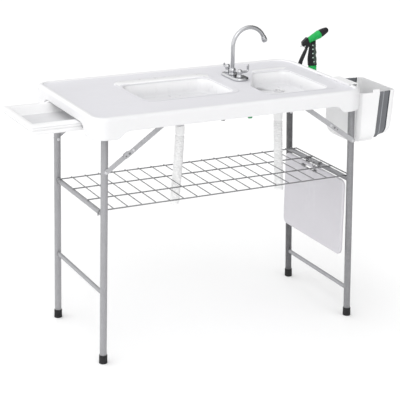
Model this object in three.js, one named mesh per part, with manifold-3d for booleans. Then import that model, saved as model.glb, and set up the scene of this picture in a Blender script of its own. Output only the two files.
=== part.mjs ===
// Folding fish cleaning table with two basins, faucet, spray nozzle, wire
// shelf, cutting board, slide-out tray and hanging bin.
// Units are millimetres, +Z up, +X to the right end, +Y to the back.
// Everything is laid out about the middle of the four legs and then moved so
// that the whole object's box stands on z = 0 with its middle at the origin.
import * as THREE from 'three';
import { mergeVertices } from 'three/addons/utils/BufferGeometryUtils.js';
import Module from 'manifold-3d';

const wasm = await Module();
wasm.setup();

// ---------------------------------------------------------------- dimensions
const GAP = 0.3;                       // between pieces that touch
// tabletop
const TOP_X0 = -575, TOP_X1 = 521, TOP_Y = 302;
const RIM_Z = 940, DECK_Z = 935, DECK_UNDER_Z = 918;
const APRON_Z = 888, SKIRT_Z = 862, END_ARCH_Z = 902;
const RIM_W = 20, APRON_T = 9, APRON_T_RIGHT = 6.5;
// basins
const BASIN_FLOOR_Z = 876, BASIN_T = 3, FLANGE_T = 4;
const DRAIN_L = [-114.5, -11], DRAIN_S = [330.5, 26];
// legs and frames
const LEG_Y = 230.5, LEG_R = 13, LEG_WALL = 1.5;
const PIVOT_Z = 900;
const LEFT = { s: -1, px: -509.2, fx: -523.4, upper: 569.4, lower: 270.2 };
const RIGHT = { s: 1, px: 499.0, fx: 528.4, upper: 569.4, lower: 115.6 };
const UPPER_R = 9.5, LOWER_R = 8;
const FOOT_R = 15.6, FOOT_H = 33;
// braces
const BRACE_A_Z = 730, BRACE_RISE = 165, BRACE_RUN = 236.5, BRACE_L1 = 107.26;
const LINK_T = 2.6, LINK_HW = 9;
// shelf
const SHELF_Z = 581.8, WIRE_R = 2.5, CROSS_R = 2;
const SHELF_Y = [190, 60, -80, -211];
const CROSS_X0 = -472, CROSS_X1 = 469, CROSS_N = 18;
// faucet
const FAUCET = [155, 85], TAP_X = 160;
const HANDLE_DY = 50;
const ARC_R = 69, SPOUT_R = 7.8, SPOUT_TOP_Z = 1057.5;
// bin
const BIN = { x0: 533, y0: -235, y1: 20, z0: 707, z1: 905, xt: 702, t: 3, r: 30 };
const BAND = { x: 611, lean: 13, w: 54 };
// nozzle
const NZ_Y = 215;

// ------------------------------------------------------------------- helpers
const V = (x, y, z) => new THREE.Vector3(x, y, z);

function solid(geometry) {
  const g = geometry.clone();
  g.deleteAttribute('normal');
  g.deleteAttribute('uv');
  const m = mergeVertices(g, 1e-4);
  return new wasm.Manifold(new wasm.Mesh({
    numProp: 3,
    vertProperties: new Float32Array(m.attributes.position.array),
    triVerts: new Uint32Array(m.index.array),
  }));
}

function geometryOf(manifold) {
  const mesh = manifold.getMesh();
  const n = mesh.numProp;
  const count = mesh.vertProperties.length / n;
  const pos = new Float32Array(count * 3);
  for (let i = 0; i < count; i++) {
    pos[3 * i] = mesh.vertProperties[n * i];
    pos[3 * i + 1] = mesh.vertProperties[n * i + 1];
    pos[3 * i + 2] = mesh.vertProperties[n * i + 2];
  }
  const g = new THREE.BufferGeometry();
  g.setAttribute('position', new THREE.BufferAttribute(pos, 3));
  g.setIndex(new THREE.BufferAttribute(new Uint32Array(mesh.triVerts), 1));
  g.computeVertexNormals();
  return g;
}

function box(x0, x1, y0, y1, z0, z1) {
  const g = new THREE.BoxGeometry(x1 - x0, y1 - y0, z1 - z0);
  g.translate((x0 + x1) / 2, (y0 + y1) / 2, (z0 + z1) / 2);
  return solid(g);
}

// a rod or frustum from one point to another
function rod(a, b, r, seg = 16, r2 = r) {
  const d = new THREE.Vector3().subVectors(b, a);
  const g = new THREE.CylinderGeometry(r2, r, d.length(), seg, 1);
  g.applyQuaternion(new THREE.Quaternion().setFromUnitVectors(V(0, 1, 0), d.clone().normalize()));
  g.translate((a.x + b.x) / 2, (a.y + b.y) / 2, (a.z + b.z) / 2);
  return solid(g);
}

function ball(c, r, seg = 12) {
  const g = new THREE.SphereGeometry(r, seg, Math.max(6, seg / 2));
  g.translate(c.x, c.y, c.z);
  return solid(g);
}

// a shape's outline as plain points, with no point given twice
function outlineOf(shape, seg = 6) {
  const out = [];
  for (const p of shape.getPoints(seg)) {
    const q = out[out.length - 1];
    if (!q || Math.hypot(p.x - q.x, p.y - q.y) > 0.01) out.push(p);
  }
  const a = out[0], b = out[out.length - 1];
  if (Math.hypot(a.x - b.x, a.y - b.y) < 0.01) out.pop();
  return new THREE.Shape(out);
}

// a flat outline in X and Y, raised from z0 to z1, its top edge rounded
function raised(shape, z0, z1, bevel = 0, bevelSegments = 2) {
  const g = new THREE.ExtrudeGeometry(outlineOf(shape), {
    depth: z1 - z0 - bevel, bevelEnabled: bevel > 0, bevelThickness: bevel,
    bevelSize: bevel, bevelOffset: -bevel, bevelSegments,
  });
  g.translate(0, 0, z0);
  return solid(g);
}

// an outline in X and Z (as [x, z] pairs), extruded along Y
function slabY(points, y0, y1) {
  const s = new THREE.Shape(points.map((p) => new THREE.Vector2(p[0], p[1])));
  const g = new THREE.ExtrudeGeometry(s, { depth: y1 - y0, bevelEnabled: false });
  // shape x -> x, shape y -> z, depth -> -y
  g.applyMatrix4(new THREE.Matrix4().makeBasis(V(1, 0, 0), V(0, 0, 1), V(0, -1, 0)));
  g.translate(0, y1, 0);
  return solid(g);
}

// an outline in Y and Z (as [y, z] pairs), extruded along X
function slabX(points, x0, x1) {
  const s = new THREE.Shape(points.map((p) => new THREE.Vector2(p[0], p[1])));
  const g = new THREE.ExtrudeGeometry(s, { depth: x1 - x0, bevelEnabled: false });
  g.applyMatrix4(new THREE.Matrix4().makeBasis(V(0, 1, 0), V(0, 0, 1), V(1, 0, 0)));
  g.translate(x0, 0, 0);
  return solid(g);
}

// rounded rectangle; r may be one radius or [x0y0, x1y0, x1y1, x0y1]
function roundRect(x0, x1, y0, y1, r) {
  const [a, b, c, d] = Array.isArray(r) ? r : [r, r, r, r];
  const s = new THREE.Shape();
  s.moveTo(x0 + a, y0);
  s.lineTo(x1 - b, y0);
  s.absarc(x1 - b, y0 + b, b, -Math.PI / 2, 0);
  s.lineTo(x1, y1 - c);
  s.absarc(x1 - c, y1 - c, c, 0, Math.PI / 2);
  s.lineTo(x0 + d, y1);
  s.absarc(x0 + d, y1 - d, d, Math.PI / 2, Math.PI);
  s.lineTo(x0, y0 + a);
  s.absarc(x0 + a, y0 + a, a, Math.PI, 1.5 * Math.PI);
  return s;
}

// a bent wire through points, of round section with `sides` sides
function wire(points, r, sides = 6, steps = 0) {
  const curve = points.length === 2
    ? new THREE.LineCurve3(points[0], points[1])
    : new THREE.CatmullRomCurve3(points, false, 'centripetal');
  const sec = new THREE.Shape();
  for (let i = 0; i < sides; i++) {
    const a = (2 * Math.PI * i) / sides;
    if (i === 0) sec.moveTo(r * Math.cos(a), r * Math.sin(a));
    else sec.lineTo(r * Math.cos(a), r * Math.sin(a));
  }
  sec.closePath();
  const g = new THREE.ExtrudeGeometry(sec, {
    steps: steps || (points.length === 2 ? 1 : (points.length - 1) * 3),
    extrudePath: curve, bevelEnabled: false,
  });
  return solid(g);
}

function lathe(profile, seg, a, axis) {
  const g = new THREE.LatheGeometry(profile.map((p) => new THREE.Vector2(p[0], p[1])), seg);
  g.applyQuaternion(new THREE.Quaternion().setFromUnitVectors(V(0, 1, 0), axis.clone().normalize()));
  g.translate(a.x, a.y, a.z);
  return solid(g);
}

function join(...parts) {
  let m = parts[0];
  for (let i = 1; i < parts.length; i++) m = m.add(parts[i]);
  return m;
}

function cut(body, ...tools) {
  let m = body;
  for (const t of tools) m = m.subtract(t);
  return m;
}

const table = new THREE.Group();
function put(group, name, manifold, color, roughness, metalness) {
  const mesh = new THREE.Mesh(geometryOf(manifold),
    new THREE.MeshStandardMaterial({ color, roughness, metalness }));
  mesh.name = name;
  group.add(mesh);
  return mesh;
}
const WHITE = [0xf0f0f2, 0.5, 0.0];
const STEEL = [0x9a9a9e, 0.35, 0.6];
const CHROME = [0xc8ccd0, 0.1, 1.0];
const BLACK = [0x141416, 0.6, 0.0];
const GREEN = [0x10a040, 0.4, 0.0];

// ------------------------------------------------------------------ tabletop
const topGroup = new THREE.Group();
table.add(topGroup);
{
  const radii = [55, 75, 80, 55];
  const edge = 12;
  const outline = roundRect(TOP_X0, TOP_X1, -TOP_Y, TOP_Y, radii);
  let body = raised(outline, SKIRT_Z - 40, RIM_Z, edge, 3);
  body = cut(body, box(-900, 900, -500, 500, SKIRT_Z - 90, SKIRT_Z));
  const inner = roundRect(TOP_X0 + APRON_T, TOP_X1 - APRON_T_RIGHT, -TOP_Y + APRON_T, TOP_Y - APRON_T,
    radii.map((r) => r - APRON_T));
  body = cut(body, raised(inner, SKIRT_Z - 10, DECK_UNDER_Z));
  const deck = roundRect(TOP_X0 + RIM_W, TOP_X1 - RIM_W, -TOP_Y + RIM_W, TOP_Y - RIM_W,
    radii.map((r) => r - RIM_W));
  body = cut(body, raised(deck, DECK_Z, RIM_Z + 5));
  // long sides: the apron is shallow between the four corner skirts
  const sx = [[-492, SKIRT_Z - 5], [-488, SKIRT_Z], [-478, 867], [-466, 879], [-452, 886], [-436, APRON_Z],
    [378, APRON_Z], [393, 886], [405, 879], [415, 867], [424, SKIRT_Z], [428, SKIRT_Z - 5]];
  body = cut(body, slabY(sx, -500, 500));
  // short ends: arched higher, where the tray slides out
  const sy = [[-214, SKIRT_Z - 5], [-211, SKIRT_Z], [-205, 868], [-196, 885], [-186, 897], [-172, END_ARCH_Z],
    [172, END_ARCH_Z], [186, 897], [196, 885], [205, 868], [211, SKIRT_Z], [214, SKIRT_Z - 5]];
  body = cut(body, slabX(sy, -800, 800));
  // openings for the basins and the faucet's two tails
  body = cut(body, raised(roundRect(-300.5, 67.5, -121.5, 139.5, 46), 800, 1000));
  body = cut(body, raised(smallOutline(3.5, 40.5, 28.5, 18.5), 800, 1000));
  for (const dy of [-HANDLE_DY, HANDLE_DY]) {
    body = cut(body, rod(V(TAP_X, FAUCET[1] + dy, 900), V(TAP_X, FAUCET[1] + dy, 950), 10.5, 16));
  }
  put(topGroup, 'tabletop', body, ...WHITE);
}

// -------------------------------------------------------------------- basins
function smallOutline(o, r, r2 = 28, r3 = 18) {
  // the small basin's outline, moved out by o; its back left corner is cut
  // off at a slant to leave room for the faucet's base
  const x0 = 155 - o, x1 = 418 + o, y0 = -206 - o, y1 = 125 + o;
  const phi = (149.25 * Math.PI) / 180, nx = Math.cos(phi), ny = Math.sin(phi);
  const h = nx * 157 - ny * 61.7 + (o <= 4 ? o : 4 + (o - 4) * 0.35);
  const cy2 = y1 - r2, cx2 = (h - r2 - ny * cy2) / nx, cx3 = x0 + r3, cy3 = (h - r3 - nx * cx3) / ny;
  const s = new THREE.Shape();
  s.moveTo(x0, y0 + r);
  s.absarc(x0 + r, y0 + r, r, Math.PI, 1.5 * Math.PI);
  s.lineTo(x1 - r, y0);
  s.absarc(x1 - r, y0 + r, r, 1.5 * Math.PI, 2 * Math.PI);
  s.lineTo(x1, y1 - r);
  s.absarc(x1 - r, y1 - r, r, 0, Math.PI / 2);
  s.lineTo(cx2, y1);
  s.absarc(cx2, cy2, r2, Math.PI / 2, phi);
  s.lineTo(cx3 + r3 * nx, cy3 + r3 * ny);
  s.absarc(cx3, cy3, r3, phi, Math.PI);
  s.closePath();
  return s;
}
{
  const zt = DECK_Z + GAP;
  let b = raised(roundRect(-300, 67, -121, 139, 45.5), BASIN_FLOOR_Z, zt + 1);
  b = join(b, raised(roundRect(-312, 90, -131, 190, 52), zt, zt + FLANGE_T));
  b = cut(b, raised(roundRect(-297, 64, -118, 136, 43), BASIN_FLOOR_Z + BASIN_T, 1000));
  b = cut(b, rod(V(...DRAIN_L, 860), V(...DRAIN_L, 890), 16.8, 20));
  put(topGroup, 'large_basin', b, ...WHITE);

  let s = raised(smallOutline(3, 40), BASIN_FLOOR_Z, zt + 1);
  let fl = raised(smallOutline(11, 46), zt, zt + FLANGE_T);
  fl = join(fl, raised(roundRect(275, 458, 90, 160, [10, 10, 44, 10]), zt, zt + FLANGE_T));
  fl = join(fl, raised(roundRect(360, 458, -217, 120, [5, 48, 5, 5]), zt, zt + FLANGE_T));
  s = join(s, fl);
  s = cut(s, raised(smallOutline(0, 38), BASIN_FLOOR_Z + BASIN_T, 1000));
  s = cut(s, rod(V(...DRAIN_S, 860), V(...DRAIN_S, 890), 16.8, 20));
  put(topGroup, 'small_basin', s, ...WHITE);
}
// lathe about Z: the profile's second number is the height
function turnedZ(profile, seg, x, y) {
  const g = new THREE.LatheGeometry(profile.map((p) => new THREE.Vector2(p[0], p[1])), seg);
  g.rotateX(Math.PI / 2);
  g.translate(x, y, 0);
  return solid(g);
}
for (const [n, c] of [['large_basin', DRAIN_L], ['small_basin', DRAIN_S]]) {
  const f = BASIN_FLOOR_Z + BASIN_T + GAP;
  const p = [[12, 800.3], [15.5, 800.3], [15.5, 858], [20, 858], [20, BASIN_FLOOR_Z - GAP],
    [16.2, BASIN_FLOOR_Z - GAP], [16.2, f], [21.5, f], [21.5, f + 2], [12, f + 2], [12, 800.3]];
  put(topGroup, `${n}_drain`, turnedZ(p, 20, c[0], c[1]), ...WHITE);
  const st = [[0, f - 6], [11, f - 6], [11.5, f + 2.3], [20.5, f + 2.3], [20.5, f + 3.8], [4, f + 3.8],
    [3.2, f + 7.5], [0, f + 7.5]];
  put(topGroup, `${n}_strainer`, turnedZ(st, 20, c[0], c[1]), ...STEEL);
}
// drain hoses: plain tubes, leaning as they hang
function hose(name, top, b, c) {
  const curve = new THREE.CatmullRomCurve3([top, V(top.x, top.y, top.z - 30), b, c], false, 'centripetal');
  const sec = new THREE.Shape();
  for (let i = 0; i < 12; i++) {
    const t = (2 * Math.PI * i) / 12;
    if (i === 0) sec.moveTo(18.3 * Math.cos(t), 18.3 * Math.sin(t));
    else sec.lineTo(18.3 * Math.cos(t), 18.3 * Math.sin(t));
  }
  sec.closePath();
  put(topGroup, name, solid(new THREE.ExtrudeGeometry(sec, { steps: 8, extrudePath: curve, bevelEnabled: false })), ...WHITE);
}
hose('large_basin_drain_hose', V(...DRAIN_L, 799.4), V(DRAIN_L[0], DRAIN_L[1] + 14, 645), V(DRAIN_L[0], DRAIN_L[1] + 42, 478));
hose('small_basin_drain_hose', V(...DRAIN_S, 799.4), V(DRAIN_S[0], DRAIN_S[1] - 9, 645), V(DRAIN_S[0] + 1, DRAIN_S[1] - 24, 480));

// -------------------------------------------------------------------- frames
function legX(side, z) {
  return side.fx + (side.px - side.fx) * (z / PIVOT_Z);
}
function tubeAlong(a, b, ro, ri, seg) {
  return cut(rod(a, b, ro, seg), rod(
    a.clone().addScaledVector(new THREE.Vector3().subVectors(b, a).normalize(), -2),
    b.clone().addScaledVector(new THREE.Vector3().subVectors(b, a).normalize(), 2), ri, seg));
}
function frame(side, tag) {
  const g = new THREE.Group();
  table.add(g);
  const dir = V(side.fx - side.px, 0, -PIVOT_Z).normalize();
  const up = dir.clone().negate();
  for (const [ys, yn] of [[-1, 'front'], [1, 'rear']]) {
    const y = ys * LEG_Y;
    const P = V(side.px, y, PIVOT_Z);
    const top = P.clone().addScaledVector(up, 7);
    const bot = V(side.fx, y, 0).addScaledVector(up, 4.8);
    const A = V(legX(side, BRACE_A_Z), y, BRACE_A_Z);
    let leg = tubeAlong(bot, top, LEG_R, LEG_R - LEG_WALL, 20);
    leg = cut(leg, rod(V(P.x, y - 30, P.z), V(P.x, y + 30, P.z), 3.9, 10));
    leg = cut(leg, rod(V(A.x, y - 30, A.z), V(A.x, y + 30, A.z), 3.4, 10));
    put(g, `${tag}_${yn}_leg`, leg, ...STEEL);
    // rubber foot: a straight cup, bored along the leg
    let foot = rod(V(side.fx, y, 0), V(side.fx, y, FOOT_H), FOOT_R, 20, FOOT_R - 0.8);
    foot = cut(foot, rod(V(side.fx, y, 0).addScaledVector(up, 4.4), V(side.fx, y, 0).addScaledVector(up, 60), LEG_R + GAP, 20));
    put(g, `${tag}_${yn}_foot`, foot, ...BLACK);
  }
  for (const [n, z, r] of [['upper', side.upper, UPPER_R], ['lower', side.lower, LOWER_R]]) {
    const x = legX(side, z);
    let bar = tubeAlong(V(x, -LEG_Y + 6, z), V(x, LEG_Y - 6, z), r, r - LEG_WALL, 16);
    for (const ys of [-1, 1]) {
      const y = ys * LEG_Y;
      bar = cut(bar, rod(V(legX(side, z - 60), y, z - 60), V(legX(side, z + 60), y, z + 60), LEG_R + GAP, 20));
    }
    put(g, `${tag}_${n}_crossbar`, bar, ...STEEL);
  }
  return g;
}
frame(LEFT, 'left');
frame(RIGHT, 'right');

// A point of a link or rail in X and Z, with o measured outward from the leg
function linkShape(a, b, hw) {
  // a flat bar with round ends from a to b, as an outline in X and Z
  const d = new THREE.Vector2(b[0] - a[0], b[1] - a[1]);
  const t0 = Math.atan2(d.y, d.x);
  const pts = [];
  for (let i = 0; i <= 8; i++) {
    const t = t0 - Math.PI / 2 + (Math.PI * i) / 8;
    pts.push([b[0] + hw * Math.cos(t), b[1] + hw * Math.sin(t)]);
  }
  for (let i = 0; i <= 8; i++) {
    const t = t0 + Math.PI / 2 + (Math.PI * i) / 8;
    pts.push([a[0] + hw * Math.cos(t), a[1] + hw * Math.sin(t)]);
  }
  return pts;
}
function brace(side, tag, ys, yn) {
  const inward = -side.s;                       // towards the middle of the table
  const A = [legX(side, BRACE_A_Z), BRACE_A_Z];
  const B = [A[0] + inward * BRACE_RUN, BRACE_A_Z + BRACE_RISE];
  const L = Math.hypot(BRACE_RUN, BRACE_RISE);
  const K = [A[0] + ((B[0] - A[0]) * BRACE_L1) / L, A[1] + ((B[1] - A[1]) * BRACE_L1) / L];
  const Y = (o0, o1) => (ys > 0 ? [LEG_Y + o0, LEG_Y + o1] : [-LEG_Y - o1, -LEG_Y - o0]);
  const disc = (c, r, o0, o1, seg = 14) => {
    const [y0, y1] = Y(o0, o1);
    return rod(V(c[0], y0, c[1]), V(c[0], y1, c[1]), r, seg);
  };
  const bar = (a, b, hw, o0, o1) => slabY(linkShape(a, b, hw), ...Y(o0, o1));
  const p0 = 13.5, p1 = p0 + LINK_T, q0 = p1 + 1.5, q1 = q0 + LINK_T;
  const g = new THREE.Group();
  table.add(g);
  // lower link: rivet through the leg, spacer boss at the knee
  let lower = bar(A, K, LINK_HW, p0, p1);
  lower = join(lower, disc(A, 3, -14.4, p0 + 1), disc(A, 6, -15.6, -13.9), disc(A, 6, p1 - 0.5, p1 + 1.2),
    disc(K, 7, p1 - 0.5, p1 + 1.2));
  put(g, `${tag}_${yn}_lower_link`, lower, ...STEEL);
  // upper link, with the knee rivet's head
  const over = [K[0] - ((B[0] - A[0]) * 17) / L, K[1] - ((B[1] - A[1]) * 17) / L];
  let upper = bar(over, B, LINK_HW, q0, q1);
  upper = join(upper, disc(K, 6, q1 - 0.5, q1 + 1.5));
  upper = cut(upper, disc(B, 3.4, q0 - 3, q1 + 3));
  put(g, `${tag}_${yn}_upper_link`, upper, ...STEEL);
  // rail under the deck: the leg's hinge at one end, the brace's at the other
  const zt = DECK_UNDER_Z - GAP;
  const xb = B[0] + inward * 18;
  const xo = side.s < 0 ? side.px - 24 : side.px + 9.5;
  const bx0 = side.s < 0 ? xo : xb, bx1 = side.s < 0 ? xb : xo;
  const [yb0, yb1] = Y(-17, 18);
  let rail = box(Math.min(bx0, bx1), Math.max(bx0, bx1), yb0, yb1, zt - 2.5, zt);
  const ox = side.s < 0 ? 18 : 9.5;             // outer half width of the cheeks
  const ck = [[side.px - (side.s < 0 ? ox : 18), zt], [side.px - (side.s < 0 ? ox : 18), PIVOT_Z - 4],
    [side.px - 8, PIVOT_Z - 12], [side.px + 8, PIVOT_Z - 12], [side.px + (side.s < 0 ? 18 : ox), PIVOT_Z - 4],
    [side.px + (side.s < 0 ? 18 : ox), zt]];
  rail = join(rail, slabY(ck, ...Y(14, 16.5)), slabY(ck, ...Y(-16.5, -14)));
  rail = join(rail, disc([side.px, PIVOT_Z], 3.5, -17.5, 17.5, 12));
  const tab = [[B[0] - 14, zt], [B[0] - 10, B[1] - 8], [B[0] - 4, B[1] - 11], [B[0] + 4, B[1] - 11],
    [B[0] + 10, B[1] - 8], [B[0] + 14, zt]];
  rail = join(rail, slabY(tab, ...Y(p0, p1)), disc(B, 7, p1 - 0.5, q0 - GAP), disc(B, 3, p1 - 0.5, q1 + 1),
    disc(B, 6, q1 + GAP, q1 + 1.7));
  put(g, `${tag}_${yn}_hinge_rail`, rail, ...STEEL);
}
for (const [ys, yn] of [[-1, 'front'], [1, 'rear']]) {
  brace(LEFT, 'left', ys, yn);
  brace(RIGHT, 'right', ys, yn);
}

// --------------------------------------------------------------------- shelf
{
  const xr = 520;
  let s = null;
  const add = (m) => { s = s ? s.add(m) : m; };
  for (const [i, y] of SHELF_Y.entries()) {
    const outer = i === 0 || i === 3;
    if (outer) {
      // the outer rails end in hooks over the left crossbar
      const h = -529.5;
      add(wire([V(xr, y, SHELF_Z), V(h, y, SHELF_Z)], WIRE_R));
      add(ball(V(h, y, SHELF_Z), WIRE_R * 1.02, 8));
      add(wire([V(h, y, SHELF_Z + 0.5), V(h, y, SHELF_Z - 17)], WIRE_R));
    } else {
      add(wire([V(xr, y, SHELF_Z), V(-517, y, SHELF_Z)], WIRE_R));
    }
  }
  add(wire([V(xr, SHELF_Y[3] - 2, SHELF_Z), V(xr, SHELF_Y[0] + 2, SHELF_Z)], WIRE_R));
  for (let i = 0; i < CROSS_N; i++) {
    const x = CROSS_X0 + ((CROSS_X1 - CROSS_X0) * i) / (CROSS_N - 1);
    add(wire([V(x, SHELF_Y[3] - 1.5, SHELF_Z + 3.4), V(x, SHELF_Y[0] + 4, SHELF_Z + 3.4)], CROSS_R));
  }
  const g = new THREE.Group();
  table.add(g);
  put(g, 'wire_shelf', s, ...STEEL);
  // a small hook on the last cross wire
  const hx = CROSS_X1, hy = -30, hz = SHELF_Z + 3.4, rr = CROSS_R + 1.9;
  const pts = [];
  for (let i = 0; i <= 6; i++) {
    const t = -0.9 + (i / 6) * (Math.PI + 0.9);
    pts.push(V(hx + rr * Math.cos(t), hy, hz + rr * Math.sin(t)));
  }
  pts.push(V(hx - rr, hy, hz - 6), V(hx - rr + 0.6, hy, hz - 12),
    V(hx - rr + 4.5, hy, hz - 16.2), V(hx - rr + 9, hy, hz - 13), V(hx - rr + 10, hy, hz - 8));
  put(g, 'right_utility_hook', wire(pts, 1.5, 6, 24), ...STEEL);
}

// --------------------------------------------------------------------- board
const BOARD = { x0: 483, x1: 495, y0: -226, y1: 215, z0: 258, z1: 565 };
{
  const g = new THREE.Group();
  table.add(g);
  const s = roundRect(BOARD.y0, BOARD.y1, BOARD.z0, BOARD.z1, 26);
  const slot = roundRect(-31, 83, 539, 553, 6.9);
  const at = (shape, x0, x1) => {
    const geo = new THREE.ExtrudeGeometry(outlineOf(shape, 5), { depth: x1 - x0, bevelEnabled: false });
    geo.applyMatrix4(new THREE.Matrix4().makeBasis(V(0, 1, 0), V(0, 0, 1), V(1, 0, 0)));
    geo.translate(x0, 0, 0);
    return solid(geo);
  };
  put(g, 'cutting_board', cut(at(s, BOARD.x0, BOARD.x1), at(slot, BOARD.x0 - 5, BOARD.x1 + 5)), ...WHITE);
  const cx = legX(RIGHT, RIGHT.upper), cz = RIGHT.upper;
  for (const [y, n] of [[70.5, 'rear'], [-18, 'front']]) {
    // clip round the crossbar with an arm to a peg in the board's slot
    let clip = cut(rod(V(cx, y - 6, cz), V(cx, y + 6, cz), UPPER_R + 2.9, 20),
      rod(V(cx, y - 8, cz), V(cx, y + 8, cz), UPPER_R + GAP, 20),
      slabY([[cx, cz], [cx + 4, cz + 30], [cx + 40, cz + 20], [cx + 30, cz - 3]], y - 9, y + 9));
    const xo = cx - UPPER_R - 2.4;
    clip = join(clip, slabY([[xo + 2.2, cz - 7], [xo - 0.4, cz - 2], [BOARD.x1 + 0.7, 556], [BOARD.x1 + 0.7, 552.7],
      [BOARD.x0 - 7, 552.7], [BOARD.x0 - 7, 545.2], [BOARD.x1 + 1.2, 545.2], [BOARD.x1 + 5.2, 549], [xo + 4.4, cz - 10]], y - 6, y + 6));
    put(g, `board_hanger_${n}`, clip, ...BLACK);
  }
}

// ---------------------------------------------------------------------- tray
{
  const g = new THREE.Group();
  table.add(g);
  const x0 = -752, x1 = -500, yo = 155, z0 = 866, z1 = 898;
  let t = raised(roundRect(x0, x1, -yo, yo, 10), z0 + 1.5, z1, 1.5, 1);
  // the well, with wide ledges round it and walls that lean in to the floor
  t = cut(t, wasm.Manifold.hull([
    raised(roundRect(-721, -514, -105, 111, 5), z0 + 3, z0 + 3.5),
    raised(roundRect(-728, -507, -112, 131, 5), z1 + 0.5, z1 + 5)]));
  for (const ys of [-1, 1]) {
    const a = ys * (yo - 3.6), b = ys * (yo + 4);
    t = cut(t, box(x0 + 24, x1 + 5, Math.min(a, b), Math.max(a, b), 879.5, 884.5));
  }
  put(g, 'side_tray', t, ...WHITE);
  for (const [ys, n] of [[-1, 'front'], [1, 'rear']]) {
    const yy = (a, b) => (ys > 0 ? [a, b] : [-b, -a]);
    const zt = DECK_UNDER_Z - GAP;
    const r = join(
      box(-563, -335, ...yy(156, 158.5), 876, zt),
      box(-563, -335, ...yy(152.2, 157), 880.7, 883.3),
      box(-563, -335, ...yy(157, 176), zt - 2.5, zt));
    put(g, `tray_rail_${n}`, r, ...STEEL);
  }
}

// ----------------------------------------------------------------------- bin
{
  const g = new THREE.Group();
  table.add(g);
  const b = BIN, t = b.t;
  const seamA = (z) => BAND.x + (BAND.lean * (z - 740)) / 165, seamB = (z) => seamA(z) + BAND.w;
  // a U-shaped section across the bin, its bottom corners rounded
  const section = (y0, y1, z0, z1, r) => {
    const out = [[y0, z1]];
    for (let i = 0; i <= 7; i++) {
      const a = Math.PI + (i / 7) * (Math.PI / 2);
      out.push([y0 + r + r * Math.cos(a), z0 + r + r * Math.sin(a)]);
    }
    for (let i = 0; i <= 7; i++) {
      const a = 1.5 * Math.PI + (i / 7) * (Math.PI / 2);
      out.push([y1 - r + r * Math.cos(a), z0 + r + r * Math.sin(a)]);
    }
    out.push([y1, z1]);
    return out;
  };
  const on = (sec, xAt) => sec.map(([y, z]) => [xAt(z), y, z]);
  const hull = (...sets) => wasm.Manifold.hull(sets.flat());
  const lean = (z0, x0, z1, x1) => (z) => x0 + ((x1 - x0) * (z - z0)) / (z1 - z0);
  const up = b.z1 + 10;
  // inner shell, with a lug on its near rim and a hook over the tabletop's rim
  // its two corners next to the table are rounded in plan
  const corners = (o, z0, z1, r) => [0, 30, 60].map((deg) => {
    const q = b.r - o, a = (deg * Math.PI) / 180, inset = o + q * (1 - Math.sin(a));
    return on(section(b.y0 + inset, b.y1 - inset, z0, z1, r), () => b.x0 + o + q * (1 - Math.cos(a)));
  });
  let shell = cut(
    hull(...corners(0, b.z0, b.z1, 45), on(section(b.y0, b.y1, b.z0, b.z1, 45), () => b.x0 + b.r),
      on(section(b.y0, b.y1, b.z0, b.z1, 45), (z) => seamA(z) - 0.15)),
    hull(...corners(t, b.z0 + t, up, 42), on(section(b.y0 + t, b.y1 - t, b.z0 + t, up, 42), () => b.x0 + b.r),
      on(section(b.y0 + t, b.y1 - t, b.z0 + t, up, 42), () => 640)));
  shell = join(shell, box(592, 622, b.y0, b.y0 + t, b.z1 - 2, b.z1 + 12),
    box(b.x0, b.x0 + t, -212, -85, b.z1 - 1, RIM_Z + 3.4),
    box(TOP_X1 - 25, b.x0 + t, -212, -85, RIM_Z + 0.4, RIM_Z + 3.4),
    box(TOP_X1 - 25, TOP_X1 - 22, -212, -85, DECK_Z + 0.6, RIM_Z + 1));
  put(g, 'bin_inner_shell', shell, ...WHITE);
  // soft band, from just inside the inner shell's edge to the outer shell's
  const ya = b.y0 + t + 0.3, yb = b.y1 - t - 0.3, yc = b.y0 + 10, yd = b.y1 - 10;
  put(g, 'bin_folding_band', cut(
    hull(on(section(ya, yb, b.z0 + t + 0.3, b.z1, 41.7), (z) => seamA(z) + 0.15),
      on(section(yc, yd, b.z0 + 20, b.z1, 38), (z) => seamB(z) - 0.15)),
    hull(on(section(ya + 2, yb - 2, b.z0 + t + 2.3, up, 39.7), (z) => seamA(z) - 1),
      on(section(yc + 2, yd - 2, b.z0 + 22, up, 36), (z) => seamB(z) + 1))), 0x50555c, 0.7, 0.0);
  // outer shell, a little smaller, with rounded front edges
  const zo = b.z0 + 20;
  put(g, 'bin_outer_shell', cut(
    hull(on(section(yc, yd, zo, b.z1, 38), (z) => seamB(z) + 0.15),
      on(section(yc, yd, zo, b.z1, 38), lean(zo, 673, b.z1, 695)),
      on(section(yc + 4, yd - 4, zo + 8, b.z1, 36), lean(zo + 8, 686, b.z1, 700)),
      on(section(yc + 11, yd - 11, zo + 26, b.z1, 34), lean(zo + 26, 695, b.z1, b.xt))),
    hull(on(section(yc + t, yd - t, zo + t, up, 35), (z) => seamB(z) - 2),
      on(section(yc + t, yd - t, zo + t, up, 35), lean(zo + t, 671, b.z1, 692)),
      on(section(yc + 4 + t, yd - 4 - t, zo + 8 + t, up, 33), lean(zo + 8 + t, 683, b.z1, 697)),
      on(section(yc + 11 + t, yd - 11 - t, zo + 26 + t, up, 31), lean(zo + 26 + t, 692, b.z1, b.xt - t)))), ...WHITE);
}

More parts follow.
